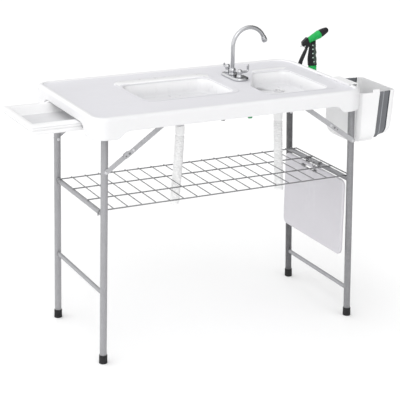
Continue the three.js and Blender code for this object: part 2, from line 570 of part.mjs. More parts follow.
// -------------------------------------------------------------------- faucet
{
  const g = new THREE.Group();
  table.add(g);
  const [fx, fy] = FAUCET;
  const zb = DECK_Z + GAP, zt = 947;
  let base = raised(roundRect(134, 199, fy - 73, fy + 73, 29), zb, zt, 3, 2);
  base = cut(base, box(fx - 60, fx + 60, fy - 100, fy + 100, zb - 30, zb));
  put(g, 'faucet_base', base, ...CHROME);
  // gooseneck spout with collar, arch and outlet nut, in the plane of the table
  const cx = fx + ARC_R;
  const pts = [V(fx, fy, 962), V(fx, fy, 1000), V(fx, fy, 1040)];
  const a0 = Math.PI, a1 = 0.4;
  for (let i = 0; i <= 10; i++) {
    const a = a0 + ((a1 - a0) * i) / 10;
    pts.push(V(cx + ARC_R * Math.cos(a), fy, SPOUT_TOP_Z + ARC_R * Math.sin(a)));
  }
  const end = pts[pts.length - 1];
  const tdir = V(Math.sin(a1), 0, -Math.cos(a1)).normalize();
  let spout = wire(pts, SPOUT_R, 12, 30);
  spout = join(spout,
    rod(V(fx, fy, zt + GAP), V(fx, fy, 955), 14, 20), rod(V(fx, fy, 954), V(fx, fy, 972), 12.5, 20, 10),
    rod(end.clone().addScaledVector(tdir, -3), end.clone().addScaledVector(tdir, 20), 10.5, 16));
  put(g, 'faucet_spout', spout, ...CHROME);
  const levers = [[-HANDLE_DY, 'front_handle', 35, 0, 968, 990], [HANDLE_DY, 'rear_handle', 2, 33, 966, 972]];
  for (const [dy, n, lx, ly, za, zc] of levers) {
    const hy = fy + dy;
    let h = rod(V(TAP_X, hy, zt + GAP), V(TAP_X, hy, 967), 11.5, 18, 9.5);
    h = join(h, ball(V(TAP_X, hy, 968), 9.8, 14), rod(V(TAP_X, hy, 966), V(TAP_X + lx, hy + ly, za), 5.4, 10, 4.4),
      ball(V(TAP_X + lx, hy + ly, za), 5, 10), rod(V(TAP_X + lx, hy + ly, za), V(TAP_X + lx, hy + ly, zc), 4.6, 10, 4),
      ball(V(TAP_X + lx, hy + ly, zc), 4.4, 10));
    put(g, n, h, ...CHROME);
  }
  // tails through the deck, each with its nut and a hose connector
  const zu = DECK_UNDER_Z - GAP;
  let rear = join(rod(V(TAP_X, fy + HANDLE_DY, 880), V(TAP_X, fy + HANDLE_DY, zb - GAP), 9.5, 16),
    rod(V(TAP_X, fy + HANDLE_DY, zu - 9), V(TAP_X, fy + HANDLE_DY, zu), 15.5, 6),
    wire([V(TAP_X, fy + HANDLE_DY, 884), V(TAP_X, fy + HANDLE_DY, 860), V(TAP_X - 5, fy + HANDLE_DY + 4, 820), V(TAP_X - 10, fy + HANDLE_DY + 8, 785)], 6.5, 8, 8),
    rod(V(TAP_X - 10, fy + HANDLE_DY + 8, 788), V(TAP_X - 11, fy + HANDLE_DY + 9, 752), 9.5, 12));
  put(g, 'rear_inlet', rear, ...BLACK);
  let front = join(rod(V(TAP_X, fy - HANDLE_DY, 880), V(TAP_X, fy - HANDLE_DY, zb - GAP), 9.5, 16),
    rod(V(TAP_X, fy - HANDLE_DY, zu - 9), V(TAP_X, fy - HANDLE_DY, zu), 15.5, 6),
    wire([V(TAP_X, fy - HANDLE_DY, 884), V(TAP_X, fy - HANDLE_DY, 865), V(TAP_X + 8, fy - HANDLE_DY - 30, 845), V(TAP_X + 16, fy - HANDLE_DY - 60, 828)], 6.5, 8, 8),
    rod(V(TAP_X + 16, fy - HANDLE_DY - 60, 832), V(TAP_X + 16, fy - HANDLE_DY - 62, 800), 9.5, 12));
  put(g, 'front_inlet', front, ...GREEN);
}

// -------------------------------------------------------------------- nozzle
{
  const g = new THREE.Group();
  table.add(g);
  const y = NZ_Y;
  const cx = 595, pv = V(562, y, 1001);
  const across = (p, h) => [V(p.x, y - h, p.z), V(p.x, y + h, p.z)];
  const d = V(53, 0, 23.7).normalize();
  const s0 = V(570.1, y, 1022.7);
  const s1 = s0.clone().addScaledVector(d, 58);
  // grip with its rear block, a saddle under the barrel, a slot for the
  // trigger's tongue and the pin through it
  let handle = slabY([[574, 919.5], [615, 919.5], [610, 932], [610, 950], [606, 962], [609, 974], [604.5, 988], [603.4, 1020],
    [600, 1030], [575, 1028], [566.4, 1036.4], [560.9, 1036], [549, 1026], [540.6, 1018.5], [543, 1006], [551, 997.6],
    [566.7, 993.4], [571, 999], [576, 1000], [578, 992], [575, 975], [572, 950]], y - 11, y + 11);
  handle = cut(handle, rod(s0.clone().addScaledVector(d, -GAP), s1.clone().addScaledVector(d, 20), 12 + GAP, 24, 19.4 + GAP),
    rod(...across(pv, 3.6), 7, 16), box(553, 571, y - 3.6, y + 3.6, 985, 1001), rod(...across(V(548, y, 1013), 14), 3, 12));
  for (const q of [-1, 1]) {
    handle = cut(handle, box(530, 564, Math.min(y + q * 7.5, y + q * 20), Math.max(y + q * 7.5, y + q * 20), 980, 1050));
  }
  handle = join(handle, rod(...across(pv, 7.9), 2, 10));
  put(g, 'nozzle_handle', handle, ...BLACK);
  put(g, 'nozzle_base_ring', join(rod(V(cx, y, 897), V(cx, y, 919.2), 17.4, 20, 17),
    rod(V(cx, y, 868), V(cx, y, 898), 11.5, 16)), ...GREEN);
  put(g, 'nozzle_barrel', rod(s0, s1, 12, 20, 17.5), ...GREEN);
  const t0 = s1.clone().addScaledVector(d, GAP);
  put(g, 'nozzle_tip', join(rod(t0, t0.clone().addScaledVector(d, 24), 16, 20, 13.4),
    rod(t0.clone().addScaledVector(d, 23), t0.clone().addScaledVector(d, 36), 13, 20, 10.6),
    rod(t0.clone().addScaledVector(d, 35), t0.clone().addScaledVector(d, 40), 10, 16, 6.5)), ...BLACK);
  // trigger lever, its tongue bored for the pin
  const trig = slabY([[558.3, 990], [568.7, 990], [561, 972], [552.3, 954], [545.3, 934], [543.3, 920], [540, 912.5], [534.5, 911], [529.3, 914.5],
    [530.3, 934], [539.2, 954], [548.8, 972]], y - 8, y + 8);
  put(g, 'nozzle_trigger', cut(join(trig, slabY([[559, 988], [567, 988], [566.8, 1001], [557.2, 1001]], y - 3.2, y + 3.2),
    rod(...across(pv, 3.2), 5, 16)), rod(...across(pv, 6), 2.4, 10)), ...BLACK);
  // wire bail behind the block, which swings down over the trigger
  const bl = [V(552, y - 9.3, 1003), V(546, y - 9.3, 1001.6), V(541.5, y - 9, 1001), V(538.8, y - 6.6, 1000.6), V(538.5, y, 1000.5),
    V(538.8, y + 6.6, 1000.6), V(541.5, y + 9, 1001), V(546, y + 9.3, 1001.6), V(552, y + 9.3, 1003)];
  put(g, 'nozzle_lock_wire', wire(bl, 1.2, 6, 24), ...STEEL);
  // holder on the apron: plate, arm and open ring for the stub
  let holder = join(box(TOP_X1 + GAP, TOP_X1 + 3, y - 24, y + 12, 868, 922),
    box(TOP_X1 + 1, cx, y - 6, y + 6, 883, 896.7), rod(V(cx, y, 883), V(cx, y, 896.7), 17, 20));
  holder = cut(holder, rod(V(cx, y, 870), V(cx, y, 900), 12.2, 20));
  put(g, 'nozzle_holder', holder, ...BLACK);
}

// ------------------------------------------------------- origin and placement
const SHIFT_X = 25, SHIFT_Y = 0;
table.position.set(SHIFT_X, SHIFT_Y, 0);

export default table;
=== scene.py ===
import bpy, bmesh, math
from mathutils import Vector, Matrix
from mathutils.geometry import delaunay_2d_cdt


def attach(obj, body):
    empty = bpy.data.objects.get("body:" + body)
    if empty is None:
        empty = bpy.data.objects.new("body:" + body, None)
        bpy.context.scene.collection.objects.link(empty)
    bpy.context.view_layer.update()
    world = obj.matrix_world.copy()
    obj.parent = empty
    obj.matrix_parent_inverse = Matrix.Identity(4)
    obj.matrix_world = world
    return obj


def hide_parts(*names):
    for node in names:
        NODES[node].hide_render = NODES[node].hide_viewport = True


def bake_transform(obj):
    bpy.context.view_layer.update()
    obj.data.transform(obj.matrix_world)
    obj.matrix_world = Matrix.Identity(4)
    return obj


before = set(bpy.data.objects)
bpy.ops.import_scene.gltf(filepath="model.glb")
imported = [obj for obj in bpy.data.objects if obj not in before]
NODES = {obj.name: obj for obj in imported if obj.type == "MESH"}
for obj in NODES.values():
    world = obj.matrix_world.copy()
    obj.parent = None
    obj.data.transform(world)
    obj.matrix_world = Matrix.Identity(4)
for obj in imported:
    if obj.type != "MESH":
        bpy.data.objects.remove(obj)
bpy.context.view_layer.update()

DX = 0.025


def P(x, y, z):
    return Vector((x / 1000 + DX, y / 1000, z / 1000))


# ------------------------------------------------------------------ camera
def make_camera():
    yaw, pitch, roll = math.radians(26.89), math.radians(18.576), math.radians(0.875)
    fwd = Vector((math.sin(yaw) * math.cos(pitch), math.cos(yaw) * math.cos(pitch), -math.sin(pitch)))
    right = Vector((math.cos(yaw), -math.sin(yaw), 0))
    up = right.cross(fwd)
    r = right * math.cos(roll) + up * math.sin(roll)
    u = -right * math.sin(roll) + up * math.cos(roll)
    m = Matrix((r, u, -fwd)).transposed().to_4x4()
    m.translation = Vector((-2.189 + DX, -4.278, 2.100))
    data = bpy.data.cameras.new("camera")
    data.lens = 118.2
    data.sensor_width = 36
    data.clip_end = 60
    cam = bpy.data.objects.new("camera", data)
    bpy.context.scene.collection.objects.link(cam)
    cam.matrix_world = m
    bpy.context.scene.camera = cam


make_camera()


# ------------------------------------------------------------ shape helpers
def V(*a):
    return Vector(a)


def spline(points, n=8):
    """points along a smooth centripetal curve through the given ones"""
    p = [Vector(q) for q in points]
    if len(p) == 2:
        return [p[0].lerp(p[1], i / n) for i in range(n + 1)]
    p = [p[0] * 2 - p[1]] + p + [p[-1] * 2 - p[-2]]
    out = []
    for i in range(1, len(p) - 2):
        p0, p1, p2, p3 = p[i - 1:i + 3]
        t0 = 0
        t1 = t0 + max((p1 - p0).length, 1e-9) ** 0.5
        t2 = t1 + max((p2 - p1).length, 1e-9) ** 0.5
        t3 = t2 + max((p3 - p2).length, 1e-9) ** 0.5
        for k in range(n):
            t = t1 + (t2 - t1) * k / n
            a1 = p0 * ((t1 - t) / (t1 - t0)) + p1 * ((t - t0) / (t1 - t0))
            a2 = p1 * ((t2 - t) / (t2 - t1)) + p2 * ((t - t1) / (t2 - t1))
            a3 = p2 * ((t3 - t) / (t3 - t2)) + p3 * ((t - t2) / (t3 - t2))
            b1 = a1 * ((t2 - t) / (t2 - t0)) + a2 * ((t - t0) / (t2 - t0))
            b2 = a2 * ((t3 - t) / (t3 - t1)) + a3 * ((t - t1) / (t3 - t1))
            out.append(b1 * ((t2 - t) / (t2 - t1)) + b2 * ((t - t1) / (t2 - t1)))
    out.append(p[-2])
    return out


class Shape:
    """verts and faces that pile up into one mesh"""

    def __init__(self):
        self.v, self.f, self.m = [], [], []

    def add(self, verts, faces, mat=0):
        o = len(self.v)
        self.v += [tuple(q) for q in verts]
        self.f += [tuple(i + o for i in f) for f in faces]
        self.m += [mat] * len(faces)
        return self

    def loft(self, rings, cap0=True, cap1=True, closed=False, mat=0, mats=None):
        n = len(rings[0])
        v = [q for r in rings for q in r]
        f, mm = [], []
        k = len(rings)
        for a in range(k if closed else k - 1):
            b = (a + 1) % k
            for i in range(n):
                j = (i + 1) % n
                f.append((a * n + i, a * n + j, b * n + j, b * n + i))
                mm.append(mats[a] if mats else mat)
        if not closed and cap0:
            f.append(tuple(reversed(range(n))))
            mm.append(mats[0] if mats else mat)
        if not closed and cap1:
            f.append(tuple((k - 1) * n + i for i in range(n)))
            mm.append(mats[-1] if mats else mat)
        o = len(self.v)
        self.v += [tuple(q) for q in v]
        self.f += [tuple(i + o for i in q) for q in f]
        self.m += mm
        return self

    def sweep(self, path, radius, seg=12, radii=None, ends="round", squash=None, mat=0):
        """a round bar along a path; radii gives one radius for each point"""
        path = [Vector(q) for q in path]
        n = len(path)
        rad = radii or [radius] * n
        tang = []
        for i in range(n):
            a, b = path[max(0, i - 1)], path[min(n - 1, i + 1)]
            tang.append((b - a).normalized())
        ref = Vector((0, 0, 1)) if abs(tang[0].z) < 0.9 else Vector((0, 1, 0))
        nrm = tang[0].cross(ref).normalized()
        rings = []

        def ring(c, t, nr, r):
            b = t.cross(nr)
            return [c + nr * (r * math.cos(2 * math.pi * k / seg)) + b * (r * math.sin(2 * math.pi * k / seg))
                    for k in range(seg)]
        frames = []
        for i in range(n):
            if i:
                nrm = (nrm - tang[i] * nrm.dot(tang[i])).normalized()
            frames.append(nrm.copy())
        if ends == "round":
            for a in (75, 50, 25):
                s = math.radians(a)
                rings.append(ring(path[0] - tang[0] * (rad[0] * math.sin(s)) * 0.6, tang[0], frames[0], rad[0] * math.cos(s)))
        elif ends == "soft":
            rings.append(ring(path[0] - tang[0] * 0.0, tang[0], frames[0], rad[0] - 0.6))
            path[0] = path[0] + tang[0] * 0.6
        for i in range(n):
            rings.append(ring(path[i], tang[i], frames[i], rad[i]))
        if ends == "round":
            for a in (25, 50, 75):
                s = math.radians(a)
                rings.append(ring(path[-1] + tang[-1] * (rad[-1] * math.sin(s)) * 0.6, tang[-1], frames[-1], rad[-1] * math.cos(s)))
        elif ends == "soft":
            rings[-1] = ring(path[-1] - tang[-1] * 0.6, tang[-1], frames[-1], rad[-1])
            rings.append(ring(path[-1], tang[-1], frames[-1], rad[-1] - 0.6))
        return self.loft(rings, mat=mat)

    def lathe(self, profile, origin=(0, 0, 0), axis=(0, 0, 1), seg=40, closed=False, mat=0):
        """profile of (radius, height); it starts and ends on the axis, or closed"""
        o, a = Vector(origin), Vector(axis).normalized()
        ref = Vector((1, 0, 0)) if abs(a.x) < 0.9 else Vector((0, 1, 0))
        u = (ref - a * ref.dot(a)).normalized()
        w = a.cross(u)
        rings = []
        for r, h in profile:
            r = max(r, 0.01)
            rings.append([o + a * h + u * (r * math.cos(2 * math.pi * k / seg)) + w * (r * math.sin(2 * math.pi * k / seg))
                          for k in range(seg)])
        return self.loft(rings, closed=closed, mat=mat)

    def box(self, x0, x1, y0, y1, z0, z1, mat=0):
        v = [(x, y, z) for z in (z0, z1) for y in (y0, y1) for x in (x0, x1)]
        return self.add(v, [(0, 2, 3, 1), (4, 5, 7, 6), (0, 1, 5, 4), (2, 6, 7, 3), (0, 4, 6, 2), (1, 3, 7, 5)], mat)

    def prism(self, poly, place, d0, d1, mat=0):
        """a flat outline poly [(a, b)] placed by place(a, b, depth), thick from d0 to d1"""
        n = len(poly)
        v = [place(a, b, d0) for a, b in poly] + [place(a, b, d1) for a, b in poly]
        f = [tuple(reversed(range(n))), tuple(range(n, 2 * n))]
        f += [(i, (i + 1) % n, n + (i + 1) % n, n + i) for i in range(n)]
        return self.add(v, f, mat)

    def plate(self, outer, holes, z, mat=0, up=True):
        """a flat face at height z inside outer and outside the holes"""
        loops = [outer] + list(holes)
        pts, edges = [], []
        for lp in loops:
            s = len(pts)
            pts += [Vector((q[0], q[1])) for q in lp]
            edges += [(s + i, s + (i + 1) % len(lp)) for i in range(len(lp))]
        vs, es, fs, *_ = delaunay_2d_cdt(pts, edges, [], 0, 1e-4)

        def inside(p, lp):
            c = False
            j = len(lp) - 1
            for i in range(len(lp)):
                xi, yi, xj, yj = lp[i][0], lp[i][1], lp[j][0], lp[j][1]
                if (yi > p[1]) != (yj > p[1]) and p[0] < (xj - xi) * (p[1] - yi) / (yj - yi) + xi:
                    c = not c
                j = i
            return c
        keep = []
        for f in fs:
            c = sum((vs[i] for i in f), Vector((0, 0))) / len(f)
            if inside(c, outer) and not any(inside(c, h) for h in holes):
                a, b, d = vs[f[0]], vs[f[1]], vs[f[2]]
                ccw = (b - a).x * (d - a).y - (b - a).y * (d - a).x > 0
                keep.append(tuple(f) if ccw == up else tuple(reversed(f)))
        return self.add([(p.x, p.y, z) for p in vs], keep, mat)


def rrect(x0, x1, y0, y1, r, n=8, sub=(1, 1)):
    """rounded rectangle, anticlockwise from the front left; r per corner"""
    a, b, c, d = r if isinstance(r, (list, tuple)) else (r,) * 4
    out = []

    def side(p, q, k):
        for i in range(k):
            out.append((p[0] + (q[0] - p[0]) * i / k, p[1] + (q[1] - p[1]) * i / k))

    def arc(cx, cy, rr, a0):
        for i in range(n):
            t = math.radians(a0 + 90 * i / n)
            out.append((cx + rr * math.cos(t), cy + rr * math.sin(t)))
    side((x0 + a, y0), (x1 - b, y0), sub[0])
    arc(x1 - b, y0 + b, b, -90)
    side((x1, y0 + b), (x1, y1 - c), sub[1])
    arc(x1 - c, y1 - c, c, 0)
    side((x1 - c, y1), (x0 + d, y1), sub[0])
    arc(x0 + d, y1 - d, d, 90)
    side((x0, y1 - d), (x0, y0 + a), sub[1])
    arc(x0 + a, y0 + a, a, 180)
    return out


def at(loop, z):
    return [(q[0], q[1], z) for q in loop]


MATS = {}


def finish_piece(name, shape, mats, body, replaces=(), sharp=32, bevel=0.0, segs=2, weld=1e-6, bevel_angle=30):
    me = bpy.data.meshes.new(name)
    me.from_pydata([P(*v) for v in shape.v], [], shape.f)
    if not isinstance(mats, (list, tuple)):
        mats = [mats]
    for m in mats:
        me.materials.append(MATS[m])
    me.polygons.foreach_set("material_index", shape.m)
    bm = bmesh.new()
    bm.from_mesh(me)
    bmesh.ops.remove_doubles(bm, verts=bm.verts, dist=weld)
    bmesh.ops.dissolve_degenerate(bm, dist=1e-7, edges=bm.edges)
    bmesh.ops.recalc_face_normals(bm, faces=bm.faces)
    bm.to_mesh(me)
    bm.free()
    me.polygons.foreach_set("use_smooth", [True] * len(me.polygons))
    me.set_sharp_from_angle(angle=math.radians(sharp))
    ob = bpy.data.objects.new(name, me)
    bpy.context.scene.collection.objects.link(ob)
    if bevel:
        b = ob.modifiers.new("edges", "BEVEL")
        b.width = bevel / 1000
        b.segments = segs
        b.limit_method = "ANGLE"
        b.angle_limit = math.radians(bevel_angle)
        b.harden_normals = True
        b.use_clamp_overlap = True
    if body:
        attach(ob, body)
    if replaces:
        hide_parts(*replaces)
    return ob


def refine(node, mat, body, bevel=0.6, segs=2, angle=30, sharp=30, name=None):
    """a CAD node's own shape, with its faces merged and its edges rounded"""
    src = NODES[node]
    me = src.data.copy()
    me.name = (name or node) + "_fine"
    me.materials.clear()
    me.materials.append(MATS[mat])
    bm = bmesh.new()
    bm.from_mesh(me)
    bmesh.ops.remove_doubles(bm, verts=bm.verts, dist=2e-6)
    bmesh.ops.dissolve_limit(bm, angle_limit=math.radians(1.0), use_dissolve_boundaries=False,
                             verts=bm.verts, edges=bm.edges)
    bmesh.ops.recalc_face_normals(bm, faces=bm.faces)
    bm.to_mesh(me)
    bm.free()
    for at_name in ("custom_normal",):
        a = me.attributes.get(at_name)
        if a:
            me.attributes.remove(a)
    me.polygons.foreach_set("material_index", [0] * len(me.polygons))
    me.polygons.foreach_set("use_smooth", [True] * len(me.polygons))
    me.set_sharp_from_angle(angle=math.radians(sharp))
    ob = bpy.data.objects.new((name or node) + "_fine", me)
    bpy.context.scene.collection.objects.link(ob)
    if bevel:
        b = ob.modifiers.new("edges", "BEVEL")
        b.width = bevel / 1000
        b.segments = segs
        b.limit_method = "ANGLE"
        b.angle_limit = math.radians(angle)
        b.harden_normals = True
        b.use_clamp_overlap = True
    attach(ob, body)
    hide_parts(node)
    return ob


# --------------------------------------------------------------- materials
def material(name, color, rough=0.5, metal=0.0, var=0.03, var_scale=6.0, grain=900.0, grain_h=0.00006,
             waves=None, rough_var=0.08, rough_scale=35.0, edge=None, edge_amount=0.25, coat=0.0, spec=0.5,
             dirt=0.0, dirt_color=(0.3, 0.28, 0.24), subsurface=0.0, speck=None, aniso=0.0, lump=None, painted_low_shade=None):
    m = bpy.data.materials.new(name)
    m.use_nodes = True
    t = m.node_tree
    n, l = t.nodes, t.links
    b = n["Principled BSDF"]
    b.inputs["Metallic"].default_value = metal
    b.inputs["Coat Weight"].default_value = coat
    b.inputs["Coat Roughness"].default_value = 0.15
    b.inputs["Specular IOR Level"].default_value = spec
    if subsurface:
        b.inputs["Subsurface Weight"].default_value = subsurface
        b.inputs["Subsurface Radius"].default_value = (0.01, 0.01, 0.009)
        b.inputs["Subsurface Scale"].default_value = 0.3
    if aniso:
        b.inputs["Anisotropic"].default_value = aniso
    tc = n.new("ShaderNodeTexCoord")
    obj = tc.outputs["Object"]

    def noise(scale, detail=4.0, rough_=0.55, vec=None):
        q = n.new("ShaderNodeTexNoise")
        q.inputs["Scale"].default_value = scale
        q.inputs["Detail"].default_value = detail
        q.inputs["Roughness"].default_value = rough_
        l.new(vec or obj, q.inputs["Vector"])
        return q.outputs["Fac"]

    def remap(fac, a, b_, c, d):
        q = n.new("ShaderNodeMapRange")
        q.inputs["From Min"].default_value = a
        q.inputs["From Max"].default_value = b_
        q.inputs["To Min"].default_value = c
        q.inputs["To Max"].default_value = d
        l.new(fac, q.inputs["Value"])
        return q.outputs["Result"]

    def mix(fac, a, b_):
        q = n.new("ShaderNodeMix")
        q.data_type = "RGBA"
        if isinstance(fac, float):
            q.inputs[0].default_value = fac
        else:
            l.new(fac, q.inputs[0])
        for s, x in ((6, a), (7, b_)):
            if isinstance(x, tuple):
                q.inputs[s].default_value = (*x, 1.0)
            else:
                l.new(x, q.inputs[s])
        return q.outputs[2]
    lo = tuple(max(0.0, c * (1 - var)) for c in color)
    hi = tuple(min(1.0, c * (1 + var)) for c in color)
    col = mix(remap(noise(var_scale, 5.0), 0.3, 0.7, 0.0, 1.0), lo, hi)
    if speck:
        # small flecks of another colour, such as sparkle in a powder coat
        s_scale, s_color, s_thr = speck
        col = mix(remap(noise(s_scale, 2.0), s_thr, s_thr + 0.05, 0.0, 1.0), col, s_color)
    if painted_low_shade:
        # painted shade: a darker tone low in the bowl, standing in for the shade on its floor, fading out with height
        sep = n.new("ShaderNodeSeparateXYZ")
        l.new(obj, sep.inputs["Vector"])
        col = mix(remap(sep.outputs["Z"], painted_low_shade[0], painted_low_shade[1], 1.0, 0.0), col, painted_low_shade[2])
    geo = n.new("ShaderNodeNewGeometry")
    if edge:
        q = remap(geo.outputs["Pointiness"], 0.52, 0.60, 0.0, edge_amount)
        w = n.new("ShaderNodeMath")
        w.operation = "MULTIPLY"
        l.new(q, w.inputs[0])
        l.new(remap(noise(60.0, 3.0), 0.4, 0.65, 0.0, 1.0), w.inputs[1])
        col = mix(w.outputs[0], col, edge)
    if dirt:
        q = remap(geo.outputs["Pointiness"], 0.49, 0.42, 0.0, dirt)
        w = n.new("ShaderNodeMath")
        w.operation = "MULTIPLY"
        l.new(q, w.inputs[0])
        l.new(remap(noise(25.0, 4.0), 0.3, 0.7, 0.2, 1.0), w.inputs[1])
        col = mix(w.outputs[0], col, dirt_color)
    l.new(col, b.inputs["Base Color"])
    # roughness: broad cloudiness and fine scratches drawn out along X
    r1 = remap(noise(rough_scale, 4.0), 0.25, 0.75, rough - rough_var, rough + rough_var)
    mp = n.new("ShaderNodeMapping")
    mp.inputs["Scale"].default_value = (1.0, 14.0, 14.0)
    l.new(obj, mp.inputs["Vector"])
    r2 = remap(noise(45.0, 6.0, 0.7, mp.outputs["Vector"]), 0.5, 0.75, 0.0, rough_var)
    ad = n.new("ShaderNodeMath")
    ad.operation = "ADD"
    ad.use_clamp = True
    l.new(r1, ad.inputs[0])
    l.new(r2, ad.inputs[1])
    l.new(ad.outputs[0], b.inputs["Roughness"])
    # bump: fine grain, and a broad lumpiness where asked
    h = noise(grain, 3.0, 0.6)
    bp = n.new("ShaderNodeBump")
    bp.inputs["Strength"].default_value = 1.0
    bp.inputs["Distance"].default_value = grain_h
    l.new(h, bp.inputs["Height"])
    last = bp.outputs["Normal"]
    if lump:
        b2 = n.new("ShaderNodeBump")
        b2.inputs["Strength"].default_value = 1.0
        b2.inputs["Distance"].default_value = lump[1]
        l.new(noise(lump[0], 2.0), b2.inputs["Height"])
        l.new(last, b2.inputs["Normal"])
        last = b2.outputs["Normal"]
    if waves:
        # regular ribs or brushed lines along one axis
        wv = n.new("ShaderNodeTexWave")
        wv.wave_type = "BANDS"
        wv.bands_direction = waves[0]
        wv.inputs["Scale"].default_value = waves[1]
        wv.inputs["Distortion"].default_value = waves[3] if len(waves) > 3 else 0.0
        l.new(obj, wv.inputs["Vector"])
        b3 = n.new("ShaderNodeBump")
        b3.inputs["Strength"].default_value = 1.0
        b3.inputs["Distance"].default_value = waves[2]
        l.new(wv.outputs["Fac"], b3.inputs["Height"])
        l.new(last, b3.inputs["Normal"])
        last = b3.outputs["Normal"]
    l.new(last, b.inputs["Normal"])
    MATS[name] = m
    return m


material("hdpe_white", (0.765, 0.765, 0.775), 0.42, var=0.012, var_scale=3.0, grain=1100.0, grain_h=0.00004,
         lump=(9.0, 0.0006), rough_var=0.06, edge=(0.93, 0.93, 0.94), dirt=0.10, dirt_color=(0.62, 0.62, 0.64), spec=0.42)
material("hdpe_deck", (0.695, 0.692, 0.722), 0.5, var=0.018, var_scale=4.0, grain=1500.0, grain_h=0.00010,
         lump=(7.0, 0.0009), rough_var=0.07, dirt=0.10, dirt_color=(0.55, 0.55, 0.58), spec=0.4)
material("hdpe_tray", (0.82, 0.82, 0.825), 0.42, var=0.015, var_scale=7.0, grain=1200.0, grain_h=0.00005,
         lump=(14.0, 0.0004), rough_var=0.06, edge=(0.92, 0.92, 0.93), dirt=0.14, dirt_color=(0.60, 0.60, 0.62))
# painted shade: basin_white darkens towards the bowl's floor, standing in for the shade there
material("basin_white", (0.86, 0.86, 0.868), 0.30, var=0.010, var_scale=5.0, grain=1100.0, grain_h=0.00002,
         lump=(4.0, 0.0002), rough_var=0.06, spec=0.45, coat=0.1, painted_low_shade=(0.879, 0.915, (0.68, 0.68, 0.695)))
# painted shade: a darker copy of the basin's white for the lip's step, standing in for the shadow line there
material("basin_edge_painted_shade", (0.72, 0.72, 0.732), 0.34, var=0.02, var_scale=8.0, grain=1100.0, grain_h=0.00002,
         rough_var=0.06, spec=0.4)
# painted shade: a darker copy of the tray's white for the well's floor, standing in for the shade in the deep well
material("hdpe_tray_floor_painted_shade", (0.63, 0.63, 0.645), 0.46, var=0.03, var_scale=12.0, grain=1300.0, grain_h=0.00008,
         lump=(16.0, 0.0003), rough_var=0.08, spec=0.4)
material("grip_soft", (0.075, 0.105, 0.085), 0.6, var=0.08, var_scale=30.0, grain=1700.0, grain_h=0.00006,
         rough_var=0.08, edge=(0.14, 0.17, 0.15), spec=0.35)
material("dot_light", (0.50, 0.66, 0.58), 0.5, var=0.06, var_scale=60.0, grain=1500.0, grain_h=0.00004,
         rough_var=0.08, spec=0.4)
material("tpr_hem", (0.055, 0.06, 0.068), 0.6, var=0.08, var_scale=18.0, grain=1300.0, grain_h=0.00008,
         rough_var=0.08, edge=(0.12, 0.125, 0.13), edge_amount=0.4, spec=0.3)
material("tpr_light", (0.29, 0.30, 0.32), 0.6, var=0.06, var_scale=18.0, grain=1300.0, grain_h=0.00008,
         rough_var=0.08, edge=(0.34, 0.35, 0.37), edge_amount=0.5, spec=0.35)
material("board_white", (0.59, 0.578, 0.61), 0.5, var=0.02, var_scale=5.0, grain=1400.0, grain_h=0.00012,
         rough_var=0.08, edge=(0.85, 0.85, 0.86), edge_amount=0.5, lump=(10.0, 0.0004))
material("hose_white", (0.90, 0.90, 0.90), 0.38, var=0.02, var_scale=20.0, grain=900.0, grain_h=0.00004,
         dirt=0.04, dirt_color=(0.75, 0.75, 0.76), rough_var=0.06)
material("steel_grey", (0.325, 0.325, 0.338), 0.38, metal=0.35, var=0.04, var_scale=12.0, grain=2600.0, grain_h=0.00008,
         rough_var=0.07, speck=(1800.0, (0.46, 0.46, 0.48), 0.62), edge=(0.5, 0.5, 0.52), dirt=0.15, dirt_color=(0.12, 0.12, 0.12))
# painted light: a lighter copy of the leg paint for the braces, standing in for the light on them
material("steel_brace", (0.42, 0.42, 0.435), 0.38, metal=0.35, var=0.04, var_scale=12.0, grain=2600.0, grain_h=0.00008,
         rough_var=0.07, speck=(1800.0, (0.52, 0.52, 0.54), 0.62), edge=(0.56, 0.56, 0.58), dirt=0.15, dirt_color=(0.14, 0.14, 0.14))
# painted shade: darker copies of the leg paint for the right front and right rear legs, standing in for the shade on
# them
material("steel_mid", (0.235, 0.235, 0.245), 0.38, metal=0.35, var=0.04, var_scale=12.0, grain=2600.0, grain_h=0.00008,
         rough_var=0.07, speck=(1800.0, (0.40, 0.40, 0.42), 0.62), edge=(0.5, 0.5, 0.52), dirt=0.15, dirt_color=(0.12, 0.12, 0.12))
material("steel_shade", (0.10, 0.10, 0.104), 0.38, metal=0.35, var=0.04, var_scale=12.0, grain=2600.0, grain_h=0.00008,
         rough_var=0.07, speck=(1800.0, (0.27, 0.27, 0.29), 0.62), edge=(0.4, 0.4, 0.42), dirt=0.15, dirt_color=(0.10, 0.10, 0.10))
material("hanger_grey", (0.13, 0.13, 0.135), 0.45, var=0.06, var_scale=30.0, grain=1500.0, grain_h=0.00006,
         rough_var=0.08, edge=(0.25, 0.25, 0.25), spec=0.3)
material("steel_dark", (0.20, 0.20, 0.21), 0.42, metal=0.4, var=0.05, var_scale=14.0, grain=2600.0, grain_h=0.00008,
         rough_var=0.08, speck=(1800.0, (0.28, 0.28, 0.29), 0.64), edge=(0.4, 0.4, 0.42), dirt=0.2, dirt_color=(0.07, 0.07, 0.07))
material("zinc", (0.62, 0.62, 0.64), 0.32, metal=0.9, var=0.06, var_scale=40.0, grain=1500.0, grain_h=0.00004,
         rough_var=0.10, edge=(0.8, 0.8, 0.82), dirt=0.2, dirt_color=(0.25, 0.25, 0.25))
material("wire_grey", (0.25, 0.25, 0.258), 0.38, metal=0.55, var=0.06, var_scale=50.0, grain=1800.0, grain_h=0.00003,
         rough_var=0.08, edge=(0.5, 0.5, 0.5), dirt=0.3, dirt_color=(0.12, 0.12, 0.12))
material("chrome", (0.50, 0.505, 0.52), 0.09, metal=1.0, var=0.02, var_scale=20.0, grain=400.0, grain_h=0.000006,
         rough_var=0.035, dirt=0.2, dirt_color=(0.35, 0.35, 0.36))
